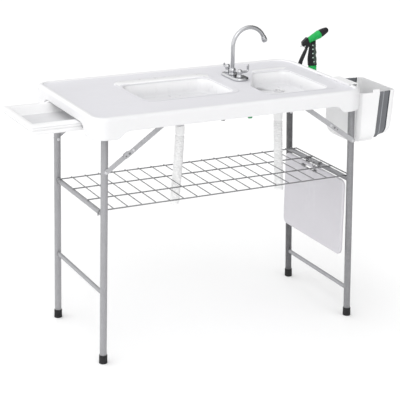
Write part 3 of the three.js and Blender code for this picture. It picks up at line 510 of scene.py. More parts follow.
material("strainer", (0.88, 0.88, 0.885), 0.42, metal=1.0, var=0.05, var_scale=60.0, grain=1400.0, grain_h=0.00002,
         rough_var=0.08)
material("rubber_black", (0.012, 0.012, 0.013), 0.62, var=0.15, var_scale=40.0, grain=1600.0, grain_h=0.00012,
         rough_var=0.1, edge=(0.06, 0.06, 0.06), spec=0.35)
material("plastic_black", (0.014, 0.014, 0.016), 0.42, var=0.12, var_scale=30.0, grain=1900.0, grain_h=0.00008,
         rough_var=0.08, edge=(0.05, 0.05, 0.053), spec=0.22)
material("plastic_green", (0.006, 0.38, 0.075), 0.34, var=0.06, var_scale=30.0, grain=1200.0, grain_h=0.00003,
         rough_var=0.06, edge=(0.06, 0.5, 0.15), coat=0.08, spec=0.25)
material("connector_green", (0.05, 0.30, 0.12), 0.34, var=0.06, var_scale=40.0, grain=1200.0, grain_h=0.00004,
         rough_var=0.06, edge=(0.12, 0.42, 0.2))
material("connector_grey", (0.10, 0.10, 0.105), 0.4, var=0.08, var_scale=40.0, grain=1200.0, grain_h=0.00005,
         rough_var=0.06, edge=(0.25, 0.25, 0.25))
material("tpr_grey", (0.15, 0.155, 0.167), 0.62, var=0.08, var_scale=18.0, grain=1300.0, grain_h=0.00010,
         rough_var=0.08, edge=(0.20, 0.21, 0.23), edge_amount=0.5, spec=0.35)
# painted shade: near-black for the inside of the deck's slot, standing in for the shade in it
material("slot_painted_shade", (0.10, 0.10, 0.105), 0.6, var=0.1, var_scale=50.0, grain=1500.0, grain_h=0.00005)
# painted shade: near-black discs standing in for holes and the shade seen through them
material("hole_dark", (0.02, 0.02, 0.02), 0.7, var=0.1, var_scale=50.0, grain=1500.0, grain_h=0.00005)

# ------------------------------------------------------- drain hoses
DRAIN_L, DRAIN_S = (-114.5, -11), (330.5, 26)


def drain_hose(name, node, top, b, c):
    path = spline([top, (top[0], top[1], top[2] - 30), b, c], 24)
    # even steps along the path
    length = [0.0]
    for p, q in zip(path, path[1:]):
        length.append(length[-1] + (q - p).length)
    total = length[-1]

    def where(s):
        s = min(max(s, 0), total)
        for i in range(len(path) - 1):
            if s <= length[i + 1] + 1e-9:
                t = (s - length[i]) / max(length[i + 1] - length[i], 1e-9)
                return path[i].lerp(path[i + 1], t)
        return path[-1]
    cuff, neck = 34.0, 5.0
    pitch, amp = 7.2, 1.7
    steps, s = [], 0.0
    while s < total - 12:
        if s < cuff:
            r = 17.9 if 1.5 < s < cuff - 1.5 else 17.2
            if 12 < s < 15:
                r = 18.2
            steps.append((s, r))
            s += 1.5
        elif s < cuff + neck:
            steps.append((s, 14.8))
            s += 1.6
        else:
            u = (s - cuff - neck) / pitch
            k = 0.5 - 0.5 * math.cos(2 * math.pi * u)
            r = 18.25 - 2 * amp * (1 - min(1.0, k * 1.35))
            steps.append((s, r))
            s += pitch / 8
    end = steps[-1][0]
    for ds, r in ((1.2, 17.6), (2.2, 17.9), (9.4, 17.9), (10.4, 17.2)):
        steps.append((end + ds, r))
    last = min(end + 10.4, total)
    pts = [where(q) for q, _ in steps]
    rad = [r for _, r in steps]
    # turn in at the open lower end and go back up inside
    sh = Shape()
    seg = 28
    tang = [(where(q + 1.5) - where(max(q - 1.5, 0))).normalized() for q, _ in steps]
    rings = []
    nrm = tang[0].cross(Vector((0, 1, 0))).normalized()
    frames = []
    for t in tang:
        nrm = (nrm - t * nrm.dot(t)).normalized()
        frames.append(nrm.copy())
    for p, t, f, r in zip(pts, tang, frames, rad):
        g = t.cross(f)
        rings.append([p + f * (r * math.cos(2 * math.pi * k / seg)) + g * (r * math.sin(2 * math.pi * k / seg)) for k in range(seg)])
    i = len(pts) - 1
    for back, r in ((0.0, 15.6), (2.0, 14.9), (16.0, 14.6), (34.0, 14.4)):
        p = where(last - back)
        f, t = frames[i], tang[i]
        g = t.cross(f)
        rings.append([p + f * (r * math.cos(2 * math.pi * k / seg)) + g * (r * math.sin(2 * math.pi * k / seg)) for k in range(seg)])
    sh.loft(rings)
    ob = finish_piece(name, sh, "hose_white", "table", [node], sharp=50)
    return ob


drain_hose("large_basin_hose_ribbed", "large_basin_drain_hose", (*DRAIN_L, 799.4),
           (DRAIN_L[0], DRAIN_L[1] + 14, 645), (DRAIN_L[0], DRAIN_L[1] + 42, 478))
drain_hose("small_basin_hose_ribbed", "small_basin_drain_hose", (*DRAIN_S, 799.4),
           (DRAIN_S[0], DRAIN_S[1] - 9, 645), (DRAIN_S[0] + 1, DRAIN_S[1] - 24, 480))

# ----------------------------------------------------------------- tabletop
TOP_X0, TOP_X1, TOP_Y = -575, 521, 302
RIM_Z, DECK_Z, DECK_UNDER_Z = 940, 935, 918
APRON_Z, SKIRT_Z, END_ARCH_Z = 888, 862, 902
RADII = (55, 75, 80, 55)
NC, SX, SY = 12, 170, 90


def smooth01(u):
    u = min(max(u, 0.0), 1.0)
    return u * u * (3 - 2 * u)


def top_ring(i, il=None, ir=None):
    il = i if il is None else il
    ir = i if ir is None else ir
    return rrect(TOP_X0 + il, TOP_X1 - ir, -TOP_Y + i, TOP_Y - i, [r - i for r in RADII], NC, (SX, SY))


def along(pts, u):
    """height at u on a line of (u, height) points"""
    if u <= pts[0][0]:
        return pts[0][1]
    for (a, p), (b, q) in zip(pts, pts[1:]):
        if u <= b:
            return p + (q - p) * (u - a) / (b - a)
    return pts[-1][1]


LONG = [(-488, 862), (-478, 867), (-466, 879), (-452, 886), (-436, 888), (378, 888), (393, 886), (405, 879), (415, 867), (424, 862)]
END = [(172, 902), (186, 897), (196, 885), (205, 868), (211, 862)]


def bottom_z():
    """the apron's lower edge for each point of a ring"""
    ref = top_ring(0)
    out = []
    for k, (x, y) in enumerate(ref):
        if abs(abs(y) - TOP_Y) < 1e-6:
            z = (along(LONG, x - 4) + along(LONG, x) * 2 + along(LONG, x + 4)) / 4
        elif abs(x - TOP_X0) < 1e-6 or abs(x - TOP_X1) < 1e-6:
            z = (along(END, abs(y) - 4) + along(END, abs(y)) * 2 + along(END, abs(y) + 4)) / 4
        else:
            z = SKIRT_Z
        out.append(z)
    return out


BZ = bottom_z()


def ring_on(i, dz, il=None, ir=None):
    return [(x, y, z + dz) for (x, y), z in zip(top_ring(i, il, ir), BZ)]


def l_ring(o, r, r2, r3, c, x1b=0.0, y1b=0.0, n=8):
    """the small basin's outline moved out by o; the same number of points for any o"""
    x0, x1, y0, y1 = 155 - o, 418 + o + x1b, -206 - o, 125 + o + y1b
    # the back left corner is cut off at a slant beside the faucet
    phi = 149.25
    nx, ny = math.cos(math.radians(phi)), math.sin(math.radians(phi))
    h = nx * 157 - ny * 61.7 + (o if o <= 4 else 4 + (o - 4) * 0.35)
    cy2, cx3 = y1 - r2, x0 + r3
    cx2, cy3 = (h - r2 - ny * cy2) / nx, (h - r3 - nx * cx3) / ny
    out = []

    def line(p, q, k=6):
        for i in range(k):
            out.append((p[0] + (q[0] - p[0]) * i / k, p[1] + (q[1] - p[1]) * i / k))

    def arc(cx, cy, rr, a0, a1, k=n):
        for i in range(k):
            t = math.radians(a0 + (a1 - a0) * i / k)
            out.append((cx + rr * math.cos(t), cy + rr * math.sin(t)))
    arc(x0 + r, y0 + r, r, 180, 270)
    line((x0 + r, y0), (x1 - r, y0))
    arc(x1 - r, y0 + r, r, 270, 360)
    line((x1, y0 + r), (x1, y1 - r))
    arc(x1 - r, y1 - r, r, 0, 90)
    line((x1 - r, y1), (cx2, y1))
    arc(cx2, cy2, r2, 90, phi)
    line((cx2 + r2 * nx, cy2 + r2 * ny), (cx3 + r3 * nx, cy3 + r3 * ny), 12)
    arc(cx3, cy3, r3, phi, 180)
    line((x0, cy3), (x0, y0 + r))
    return out


def build_tabletop():
    sh = Shape()
    rings, mats = [], []

    def put(i, z, m=0, il=None, ir=None):
        rings.append(at(top_ring(i, il, ir), z))
        mats.append(m)
    put(25.5, DECK_Z, 1)
    put(23.4, DECK_Z + 0.15, 1)
    put(21.8, DECK_Z + 0.9, 0)
    put(20.6, DECK_Z + 2.5, 0)
    put(19.6, DECK_Z + 4.0, 0)
    put(18.0, RIM_Z - 0.2, 0)
    put(16.2, RIM_Z, 0)
    put(12.5, RIM_Z, 0)
    for a in (12, 25, 38, 52, 66, 78, 90):
        t = math.radians(a)
        put(12 - 12 * math.sin(t), RIM_Z - 12 + 12 * math.cos(t))
    put(0.0, 920)
    put(0.0, 908)
    for i, dz in ((0.0, 5.0), (0.0, 2.2), (0.7, 0.7), (2.2, 0.0)):
        rings.append(ring_on(i, dz))
        mats.append(0)
    for i, dz in ((5.6, 0.0), (6.2, 0.5), (6.5, 2.0)):
        il = i if i < 6 else (8.4 if i < 6.4 else 9.0)
        rings.append([(x, y, z + dz) for (x, y), z in zip(top_ring_side(i, il), BZ)])
        mats.append(0)
    rings.append([(x, y, 910) for x, y in top_ring_side(6.5, 9.0)])
    mats.append(0)
    rings.append([(x, y, 916) for x, y in top_ring_side(7.4, 10.0)])
    mats.append(0)
    rings.append([(x, y, DECK_UNDER_Z) for x, y in top_ring_side(10.0, 12.5)])
    mats.append(0)
    sh.loft(rings, cap0=False, cap1=False, mats=mats)
    holes = [rrect(-300.5, 67.5, -121.5, 139.5, 46, 10, (20, 16)), l_ring(3.5, 40.5, 28.5, 18.5, 13)]
    for y in (35, 135):
        holes.append([(160 + 10.5 * math.cos(math.radians(a)), y + 10.5 * math.sin(math.radians(a))) for a in range(0, 360, 15)])
    # a narrow slot in the deck by the right rim
    slot = rrect(489.5, 494.5, -30, 9, 2.4, 4, (6, 1))
    sh.plate(top_ring(25.5), holes + [slot], DECK_Z, mat=1, up=True)
    sh.plate(top_ring_side(10.0, 12.5), holes, DECK_UNDER_Z, mat=0, up=False)
    for h in holes:
        sh.loft([at(h, DECK_Z), at(h, DECK_UNDER_Z)], cap0=False, cap1=False)
    inner = rrect(490.0, 494.0, -29.4, 8.4, 1.9, 4, (6, 1))
    # painted shade: the slot's walls and floor take the near-black slot material
    sh.loft([at(slot, DECK_Z), at(inner, DECK_Z - 1.0), at(inner, DECK_Z - 6)], cap0=False, cap1=True, mats=[1, 2, 2])
    return finish_piece("tabletop_moulded", sh, ["hdpe_white", "hdpe_deck", "slot_painted_shade"], "table", ["tabletop"], sharp=40)


def top_ring_side(i_right, i):
    """a ring inset by i, but by i_right along the right end"""
    r = [max(q - i, 4) for q in RADII]
    return rrect(TOP_X0 + i, TOP_X1 - i_right, -TOP_Y + i, TOP_Y - i, r, NC, (SX, SY))


build_tabletop()


# ------------------------------------------------------------------- basins
def flange_k(x, y):
    """how much of its full height the basins' flange keeps at (x, y)"""
    return 0.2 + 0.8 * smooth01((y - 118) / 30)


def lower_flange(rings, zt):
    return [[(x, y, zt + (z - zt) * flange_k(x, y) if z > zt else z) for x, y, z in r] for r in rings]


def tint_flange(ob, zt, inside):
    """the flange is moulded in the deck's colour but for its back strip"""
    for f in ob.data.polygons:
        c = f.center
        x, y, z = (c.x - DX) * 1000, c.y * 1000, c.z * 1000
        if z > zt - 0.1 and y < 138 and not inside(x, y):
            f.material_index = 2


def build_large_basin():
    sh = Shape()
    zt = DECK_Z + 0.3

    def rr(x0, x1, y0, y1, r):
        return rrect(x0, x1, y0, y1, r, 12, (24, 20))

    def inn(o, z):
        # inside outline moved in by o
        return at(rr(-297 + o, 64 - o, -118 + o, 136 - o, max(43 - o * 0.45, 12)), z)

    def out(x0, x1, y0, y1, r, z):
        return at(rr(x0, x1, y0, y1, r), z)
    rings = [
        out(-303, 70, -124, 142, 47, zt),
        out(-311.2, 89.2, -130.2, 189.2, 51, zt), out(-312, 90, -131, 190, 52, zt + 0.6),
        out(-312, 90, -131, 190, 52, zt + 2.6), out(-311.3, 89.3, -130.3, 189.3, 51.5, zt + 3.6),
        out(-309.8, 87.8, -128.8, 187.8, 50, zt + 4.0),
        out(-304.5, 76, -123.5, 150, 47.5, zt + 4.0), out(-303, 71.5, -122.6, 143, 46.5, zt + 3.9),
        inn(-4.2, zt + 3.7), inn(-2.6, zt + 3.0), inn(-1.6, zt + 1.8), inn(-1.3, zt + 0.6), inn(-0.9, zt - 0.2), inn(0.2, zt - 0.5),
        inn(0.6, zt - 3.4), inn(-0.4, zt - 3.8), inn(0.5, zt - 5.0), inn(1.5, 915), inn(3.0, 900), inn(4.6, 891)]
    rings = lower_flange(rings, zt)
    # painted shade: the bands at the inner lip's step take the darker edge material, standing in for its shadow line
    shade_line_at = 13
    for a in (15, 30, 45, 60, 75, 90):
        t = math.radians(a)
        rings.append(inn(4.8 + 11 * (1 - math.cos(t)), 879.3 + 11 - 11 * math.sin(t)))
    # floor falling gently to the drain
    cx, cy = DRAIN_L
    base = rings[-1]
    for k, dz in ((0.75, -0.1), (0.5, -0.2), (0.3, -0.25)):
        rings.append([(cx + (x - cx) * k, cy + (y - cy) * k, 879.3 + dz) for x, y, _ in base])
    circ = []
    for x, y, _ in base:
        a = math.atan2(y - cy, x - cx)
        circ.append((cx + 24 * math.cos(a), cy + 24 * math.sin(a), 879.0))
    rings.append(circ)
    rings.append([(cx + (x - cx) * 16.9 / 24, cy + (y - cy) * 16.9 / 24, 878.9) for x, y, _ in circ])
    rings.append([(cx + (x - cx) * 16.9 / 24, cy + (y - cy) * 16.9 / 24, 876) for x, y, _ in circ])
    # underside back out to the flange
    def und(o, z):
        return at(rr(-300 + o, 67 - o, -121 + o, 139 - o, max(46 - o * 0.45, 12)), z)
    rings += [und(14, 876), und(6.5, 878.5), und(3.6, 885), und(0.2, 917), und(0.0, zt)]
    sh.loft(rings, closed=True, mats=[1 if shade_line_at <= k < shade_line_at + 2 else 0 for k in range(len(rings))])
    ob = finish_piece("large_basin_moulded", sh, ["basin_white", "basin_edge_painted_shade", "hdpe_deck"], "table", ["large_basin"], sharp=45)
    tint_flange(ob, zt, lambda x, y: False)
    return ob


def build_small_basin():
    sh = Shape()
    zt = DECK_Z + 0.3

    def ring(o, r, r2, r3, c, z, xb=0.0, yb=0.0):
        return at(l_ring(o, r, r2, r3, c, xb, yb), z)
    rings = [
        ring(6, 42, 30, 19, 9, zt),
        ring(10.3, 47, 34, 24, 6, zt, 28, 23.3), ring(11, 48, 35, 25, 6, zt + 0.6, 29, 24),
        ring(11, 48, 35, 25, 6, zt + 2.6, 29, 24), ring(10.3, 47, 34, 24, 6, zt + 3.6, 28, 23.3),
        ring(9.0, 46, 33, 23, 7, zt + 4.0, 27, 22.2),
        ring(6.2, 43, 31, 21, 9, zt + 4.0, 2.5, 5), ring(5.0, 42, 30, 20, 9.5, zt + 3.9, 0.5, 1),
        ring(3.8, 41, 29, 19.5, 10, zt + 3.6), ring(2.4, 40, 28.5, 19, 11, zt + 2.8), ring(1.4, 39, 28, 18.5, 11.5, zt + 1.2),
        ring(1.0, 39, 28, 18.5, 11.5, zt - 0.2), ring(-0.1, 38, 27, 18, 12, zt - 0.5), ring(-0.5, 38, 27, 18, 12, zt - 3.4),
        ring(0.4, 38, 27, 18, 12, zt - 3.8), ring(-0.4, 38, 27, 18, 12, zt - 5.0),
        ring(-1.3, 37, 26, 17.5, 13, 915), ring(-2.6, 36, 25, 17, 14, 900), ring(-4.0, 35, 24, 16.5, 15, 891)]
    rings = lower_flange(rings, zt)
    for a in (15, 30, 45, 60, 75, 90):
        t = math.radians(a)
        o = 4.2 + 11 * (1 - math.cos(t))
        rings.append(ring(-o, 38 - o * 0.6, 27 - o * 0.5, 18 - o * 0.4, 12 + o, 879.3 + 11 - 11 * math.sin(t)))
    # painted shade: the bands at the inner lip's step take the darker edge material, standing in for its shadow line
    sh.loft(rings, cap0=False, cap1=False, mats=[1 if 12 <= k < 14 else 0 for k in range(len(rings))])
    floor = [(x, y) for x, y, _ in rings[-1]]
    cx, cy = DRAIN_S
    hole = [(cx + 16.9 * math.cos(math.radians(a)), cy + 16.9 * math.sin(math.radians(a))) for a in range(0, 360, 10)]
    sh.plate(floor, [hole], 879.3, up=True)
    und = [ring(6, 42, 30, 19, 9, zt), ring(3.0, 40, 28, 18, 12, zt - 0.01), ring(2.8, 40, 28, 18, 12, 917),
           ring(-0.5, 37, 26, 17, 14, 888), ring(-3.5, 36, 25, 16.5, 15, 879), ring(-9, 32, 22, 15, 20, 876)]
    sh.loft(und, cap0=False, cap1=False)
    sh.plate([(x, y) for x, y, _ in und[-1]], [hole], 876, up=False)
    sh.loft([at(hole, 879.3), at(hole, 876)], cap0=False, cap1=False)
    ob = finish_piece("small_basin_moulded", sh, ["basin_white", "basin_edge_painted_shade", "hdpe_deck"], "table", ["small_basin"], sharp=45)
    tint_flange(ob, zt, lambda x, y: False)
    return ob


build_large_basin()
build_small_basin()


def build_drain(tag, c):
    f = 879.3
    sh = Shape()
    cx, cy = c
    sh.lathe([(12, 800.6), (15.2, 800.3), (15.5, 801), (15.5, 846), (16.5, 847.5), (16.5, 849.5), (15.5, 851), (15.5, 858),
              (19, 858), (20, 859), (20, 874.5), (19.2, 875.6), (16.2, 875.7), (16.2, f), (20.5, f), (21.5, f + 0.7),
              (21.2, f + 1.6), (20, f + 2), (14, f + 1.6), (12.4, f + 0.4), (12, f - 1.5)], (cx, cy, 0), closed=True, seg=48)
    # the clamping nut's wings
    for k in range(8):
        a = math.radians(45 * k)
        x, y = cx + 19.4 * math.cos(a), cy + 19.4 * math.sin(a)
        sh.lathe([(0, 860), (1.6, 860.4), (1.6, 873), (0, 873.4)], (x, y, 0), seg=8)
    finish_piece(tag + "_drain_turned", sh, "basin_white", "table", [tag + "_drain"], sharp=35)
    st = Shape()
    st.lathe([(0, f - 6), (9, f - 6), (10.6, f - 5), (11.2, f + 1.2), (12.6, f + 2.4), (20, f + 2.4), (20.6, f + 3.0),
              (20.2, f + 3.7), (17, f + 3.9), (13, f + 3.0), (11.8, f + 2.2), (11.0, f - 3.2), (9.6, f - 4.6), (3.4, f - 4.8),
              (2.4, f - 3.6), (2.2, f + 4.4), (4.2, f + 5.2), (4.4, f + 6.6), (3.0, f + 7.4), (0, f + 7.5)], (cx, cy, 0), seg=48)
    finish_piece(tag + "_strainer_pressed", st, "strainer", "large_strainer" if tag == "large_basin" else "small_strainer",
                 [tag + "_strainer"], sharp=40)
    # painted shade: dark discs on the strainer's cup stand in for its perforations and the shade seen through them
    ho = Shape()
    for ring_r, count in ((6.8, 8), (14.9, 16)):
        for k in range(count):
            a = 2 * math.pi * k / count
            x, y = cx + ring_r * math.cos(a), cy + ring_r * math.sin(a)
            z = f - 4.85 if ring_r < 10 else f + 3.3
            ho.lathe([(0, z - 0.2), (0.9, z - 0.2), (1.0, z + 0.12), (0.8, z + 0.2), (0, z + 0.2)], (x, y, 0), seg=10)
    finish_piece(tag + "_strainer_holes", ho, "hole_dark", "large_strainer" if tag == "large_basin" else "small_strainer",
                 sharp=40)


build_drain("large_basin", DRAIN_L)
build_drain("small_basin", DRAIN_S)

# ------------------------------------------------------------ legs and frames
LEG_Y, LEG_R, PIVOT_Z = 230.5, 13.0, 900.0
SIDES = {
    "left": dict(s=-1, px=-509.2, fx=-523.4, upper=569.4, lower=270.2, body="left_frame"),
    "right": dict(s=1, px=499.0, fx=528.4, upper=569.4, lower=115.6, body="table"),
}
BRACE_A_Z, BRACE_RISE, BRACE_RUN, BRACE_L1 = 730.0, 165.0, 236.5, 107.26


def leg_x(sd, z):
    return sd["fx"] + (sd["px"] - sd["fx"]) * (z / PIVOT_Z)


def leg_point(sd, y, z):
    return Vector((leg_x(sd, z), y, z))


def build_frame(tag):
    sd = SIDES[tag]
    up = Vector((sd["px"] - sd["fx"], 0, PIVOT_Z)).normalized()
    for ys, yn in ((-1, "front"), (1, "rear")):
        y = ys * LEG_Y
        foot0 = Vector((sd["fx"], y, 0))
        length = (Vector((sd["px"], y, PIVOT_Z)) - foot0).length + 7
        sh = Shape()
        # tube with a rolled top edge and a plug set into it
        sh.lathe([(0, 5.2), (11.6, 5.2), (12.6, 5.6), (13, 6.4), (13, length - 1.4), (12.6, length - 0.4), (12.1, length - 0.1),
                  (11.6, length - 0.5), (11.5, length - 2.0), (0, length - 2.0)], foot0, up, seg=40)
        # painted shade: the two right legs take darker copies of the leg paint; all four legs carry one paint
        steel = {"right_front": "steel_mid", "right_rear": "steel_shade"}.get(f"{tag}_{yn}", "steel_grey")
        finish_piece(f"{tag}_{yn}_leg_tube", sh, steel, sd["body"], [f"{tag}_{yn}_leg"], sharp=40)
        # rubber foot: ribbed cup with a flat tread
        ft = Shape()
        prof = [(0, 0.0), (13.8, 0.0), (15.0, 0.4), (15.6, 1.4), (15.6, 4.0), (15.1, 4.6), (15.1, 6.0), (15.5, 6.6), (15.4, 9.2),
                (14.9, 9.8), (14.9, 11.0), (15.3, 11.6), (15.1, 27.5), (15.2, 28.2), (15.3, 31.0), (14.9, 32.4), (14.2, 33.0), (13.25, 32.6),
                (13.2, 20), (0, 19)]
        ring_prof = []
        for r, h in prof:
            ring_prof.append((r, h))
        seg = 40
        rings = []
        for r, h in ring_prof:
            r = max(r, 0.01)
            cx = sd["fx"] + up.x / up.z * h if h > 3 else sd["fx"]
            lim = r
            rings.append([(cx + lim * math.cos(2 * math.pi * k / seg), y + lim * math.sin(2 * math.pi * k / seg), h) for k in range(seg)])
        ft.loft(rings)
        finish_piece(f"{tag}_{yn}_foot_cap", ft, "rubber_black", sd["body"], [f"{tag}_{yn}_foot"], sharp=40)
    for nm, r in (("upper", 9.5), ("lower", 8.0)):
        z = sd[nm]
        x = leg_x(sd, z)
        sh = Shape()
        yy = LEG_Y - LEG_R
        # straight tube whose ends are pressed flat a little where they are welded to the legs
        seg = 28
        rings = []
        stations = [-yy - 0.5, -yy + 5, -yy + 14, -yy + 24, -yy + 40, -60, 60, yy - 40, yy - 24, yy - 14, yy - 5, yy + 0.5]
        for st in stations:
            d = yy - abs(st)
            k = 1 - smooth01(d / 26)
            ax, az = r * (1 - 0.16 * k), r * (1 + 0.06 * k)
            rings.append([(x + ax * math.cos(2 * math.pi * q / seg), st, z + az * math.sin(2 * math.pi * q / seg)) for q in range(seg)])
        sh.loft(rings)
        finish_piece(f"{tag}_{nm}_crossbar_tube", sh, "steel_grey", sd["body"], [f"{tag}_{nm}_crossbar"], sharp=40)
        # weld fillets round each end
        wd = Shape()
        for ys in (-1, 1):
            pts = []
            for q in range(24):
                a = 2 * math.pi * q / 24
                bx, bz = x + (r - 0.3) * 0.9 * math.cos(a), z + (r + 0.2) * math.sin(a)
                dx = bx - leg_x(sd, bz)
                depth = math.sqrt(max(LEG_R ** 2 - dx ** 2, 0))
                pts.append(Vector((bx, ys * (LEG_Y - depth - 0.7), bz)))
            ring_tube(wd, pts, 1.5, 8)
        finish_piece(f"{tag}_{nm}_crossbar_welds", wd, "steel_dark", sd["body"], sharp=60)


def ring_tube(sh, pts, r, seg=8):
    """a closed round bead through pts"""
    n = len(pts)
    rings = []
    centre = sum(pts, Vector((0, 0, 0))) / n
    for i in range(n):
        t = (pts[(i + 1) % n] - pts[i - 1]).normalized()
        o = (pts[i] - centre)
        o = (o - t * o.dot(t)).normalized()
        b = t.cross(o)
        rings.append([pts[i] + o * (r * math.cos(2 * math.pi * k / seg)) + b * (r * math.sin(2 * math.pi * k / seg)) for k in range(seg)])
    sh.loft(rings, closed=True)


build_frame("left")
build_frame("right")


def link_outline(a, b, hw, n=12):
    d = Vector((b[0] - a[0], b[1] - a[1]))
    t0 = math.atan2(d.y, d.x)
    pts = []
    for i in range(n + 1):
        t = t0 - math.pi / 2 + math.pi * i / n
        pts.append((b[0] + hw * math.cos(t), b[1] + hw * math.sin(t)))
    for i in range(n + 1):
        t = t0 + math.pi / 2 + math.pi * i / n
        pts.append((a[0] + hw * math.cos(t), a[1] + hw * math.sin(t)))
    return pts


def strip(sh, a, b, hw, y0, y1, swage=True):
    """a flat steel link in X and Z with eased edges"""
    def pl(px, pz, d):
        return (px, d, pz)
    e = 0.5
    outer = link_outline(a, b, hw)
    soft = link_outline(a, b, hw - e)
    rings = [[pl(x, z, y0) for x, z in soft], [pl(x, z, y0 + e) for x, z in outer],
             [pl(x, z, y1 - e) for x, z in outer], [pl(x, z, y1) for x, z in soft]]
    sh.loft(rings)


def rivet(sh, c, y_face, out, r=6.0, h=1.8):
    """a domed rivet head at (x, z), standing from y_face outwards"""
    prof = [(0, -0.3), (r, -0.3), (r, 0.15), (r * 0.97, 0.35 * h), (r * 0.86, 0.66 * h), (r * 0.66, 0.87 * h), (r * 0.36, 0.97 * h), (0, h)]
    sh.lathe(prof, (c[0], y_face, c[1]), (0, out, 0), seg=24)


def build_brace(tag, ys, yn):
    sd = SIDES[tag]
    inward = -sd["s"]
    A = (leg_x(sd, BRACE_A_Z), BRACE_A_Z)
    B = (A[0] + inward * BRACE_RUN, BRACE_A_Z + BRACE_RISE)
    L = math.hypot(BRACE_RUN, BRACE_RISE)
    u = ((B[0] - A[0]) / L, (B[1] - A[1]) / L)
    K = (A[0] + u[0] * BRACE_L1, A[1] + u[1] * BRACE_L1)
    p0, p1, q0, q1 = 13.5, 16.1, 17.6, 20.2

    def Y(o):
        return ys * (LEG_Y + o)
    lower_body = "left_lower_links" if tag == "left" else "table"
    upper_body = "left_upper_links" if tag == "left" else "table"
    # painted light: the brace links and hinge rails take a lighter copy of the leg paint
    lo = Shape()
    strip(lo, A, K, 9, min(Y(p0), Y(p1)), max(Y(p0), Y(p1)))
    lo.lathe([(0, 0), (3, 0), (3, 29.5), (0, 29.5)], (A[0], Y(-14.4), A[1]), (0, ys, 0), seg=16)
    lo.lathe([(0, p1 - 0.6), (6.6, p1 - 0.6), (6.6, p1 + 1.1), (6.2, p1 + 1.3), (0, p1 + 1.3)], (K[0], ys * LEG_Y, K[1]), (0, ys, 0), seg=20)
    finish_piece(f"{tag}_{yn}_lower_link_plate", lo, "steel_brace", lower_body, [f"{tag}_{yn}_lower_link"], sharp=35)
    rv = Shape()
    rivet(rv, A, Y(p1), ys, 5.8, 1.4)
    rivet(rv, A, Y(-13.6), -ys, 6.0, 1.8)
    finish_piece(f"{tag}_{yn}_lower_link_rivets", rv, "zinc", lower_body, sharp=40)
    up_ = Shape()

    def along_link(s, side=0.0):
        # a point s from A along the brace, moved across it by side
        return (A[0] + u[0] * s + inward * -u[1] * inward * side, A[1] + u[1] * s + abs(u[0]) * side)
    over = (K[0] - u[0] * 17, K[1] - u[1] * 17)
    strip(up_, over, B, 9, min(Y(q0), Y(q1)), max(Y(q0), Y(q1)))
    # the stop tab on the link's upper edge, bent in over the lower link
    tab = [along_link(86, 8.2), along_link(106, 8.2), along_link(105, 11.6), along_link(87, 11.6)]
    e = 0.4
    small = [along_link(86.5, 8.6), along_link(105.5, 8.6), along_link(104.6, 11.2), along_link(87.4, 11.2)]
    ya, yb = Y(p0 - 0.6), Y(q1)
    up_.loft([[(x, ya, z) for x, z in small], [(x, ya + ys * e, z) for x, z in tab],
              [(x, yb - ys * e, z) for x, z in tab], [(x, yb, z) for x, z in small]])
    finish_piece(f"{tag}_{yn}_upper_link_plate", up_, "steel_brace", upper_body, [f"{tag}_{yn}_upper_link"], sharp=35)
    r2 = Shape()
    rivet(r2, along_link(126), Y(q1), ys, 5.4, 1.5)
    finish_piece(f"{tag}_{yn}_upper_link_rivets", r2, "zinc", upper_body, sharp=40)
    # the knee's dark pin head, and a dark disc near the link's tail standing in for the locking hole, painted in the
    # hole's shade
    dk = Shape()
    rivet(dk, K, Y(q1), ys, 4.6, 0.7)
    rivet(dk, along_link(92), Y(q1) - ys * 0.1, ys, 3.2, 0.35)
    finish_piece(f"{tag}_{yn}_upper_link_pins", dk, "steel_dark", upper_body, sharp=40)
    finish = refine(f"{tag}_{yn}_hinge_rail", "steel_brace", "table", bevel=0.5, segs=2)
    return finish


for _t in ("left", "right"):
    for _ys, _yn in ((-1, "front"), (1, "rear")):
        build_brace(_t, _ys, _yn)

# -------------------------------------------------------------------- shelf
SHELF_Z, SHELF_Y = 581.8, (190, 60, -80, -211)


def build_shelf():
    sh = Shape()
    xr = 520
    for i, y in enumerate(SHELF_Y):
        if i in (0, 3):
            h = -529.5
            path = [V(xr, y, SHELF_Z)] + [V(xr - k * (xr - h - 6) / 24, y, SHELF_Z) for k in range(1, 25)]
            for a in (20, 45, 70, 90):
                t = math.radians(a)
                path.append(V(h + 6 - 6 * math.sin(t), y, SHELF_Z - 6 + 6 * math.cos(t)))
            path += [V(h, y, SHELF_Z - 10), V(h, y, SHELF_Z - 15.6)]
            sh.sweep(path, 2.5, 12)
        else:
            sh.sweep([V(xr, y, SHELF_Z), V(200, y, SHELF_Z), V(-200, y, SHELF_Z), V(-516, y, SHELF_Z)], 2.5, 12)
    sh.sweep([V(xr, SHELF_Y[3] - 2, SHELF_Z), V(xr, -80, SHELF_Z), V(xr, 60, SHELF_Z), V(xr, SHELF_Y[0] + 2, SHELF_Z)], 2.5, 12)
    for i in range(18):
        x = -472 + 941 * i / 17
        sh.sweep([V(x, SHELF_Y[3] - 1.0, SHELF_Z + 3.4), V(x, -80, SHELF_Z + 3.4), V(x, 60, SHELF_Z + 3.4), V(x, SHELF_Y[0] + 3.2, SHELF_Z + 3.4)], 2.0, 10)
        # spot welds
        for y in SHELF_Y:
            sh.lathe([(0, -2.1), (2.0, -1.6), (2.8, 0), (2.0, 1.6), (0, 2.1)], (x, y, SHELF_Z + 2.0), (0, 0, 1), seg=10)
    return finish_piece("wire_shelf_welded", sh, "wire_grey", "shelf", ["wire_shelf"], sharp=50)


build_shelf()


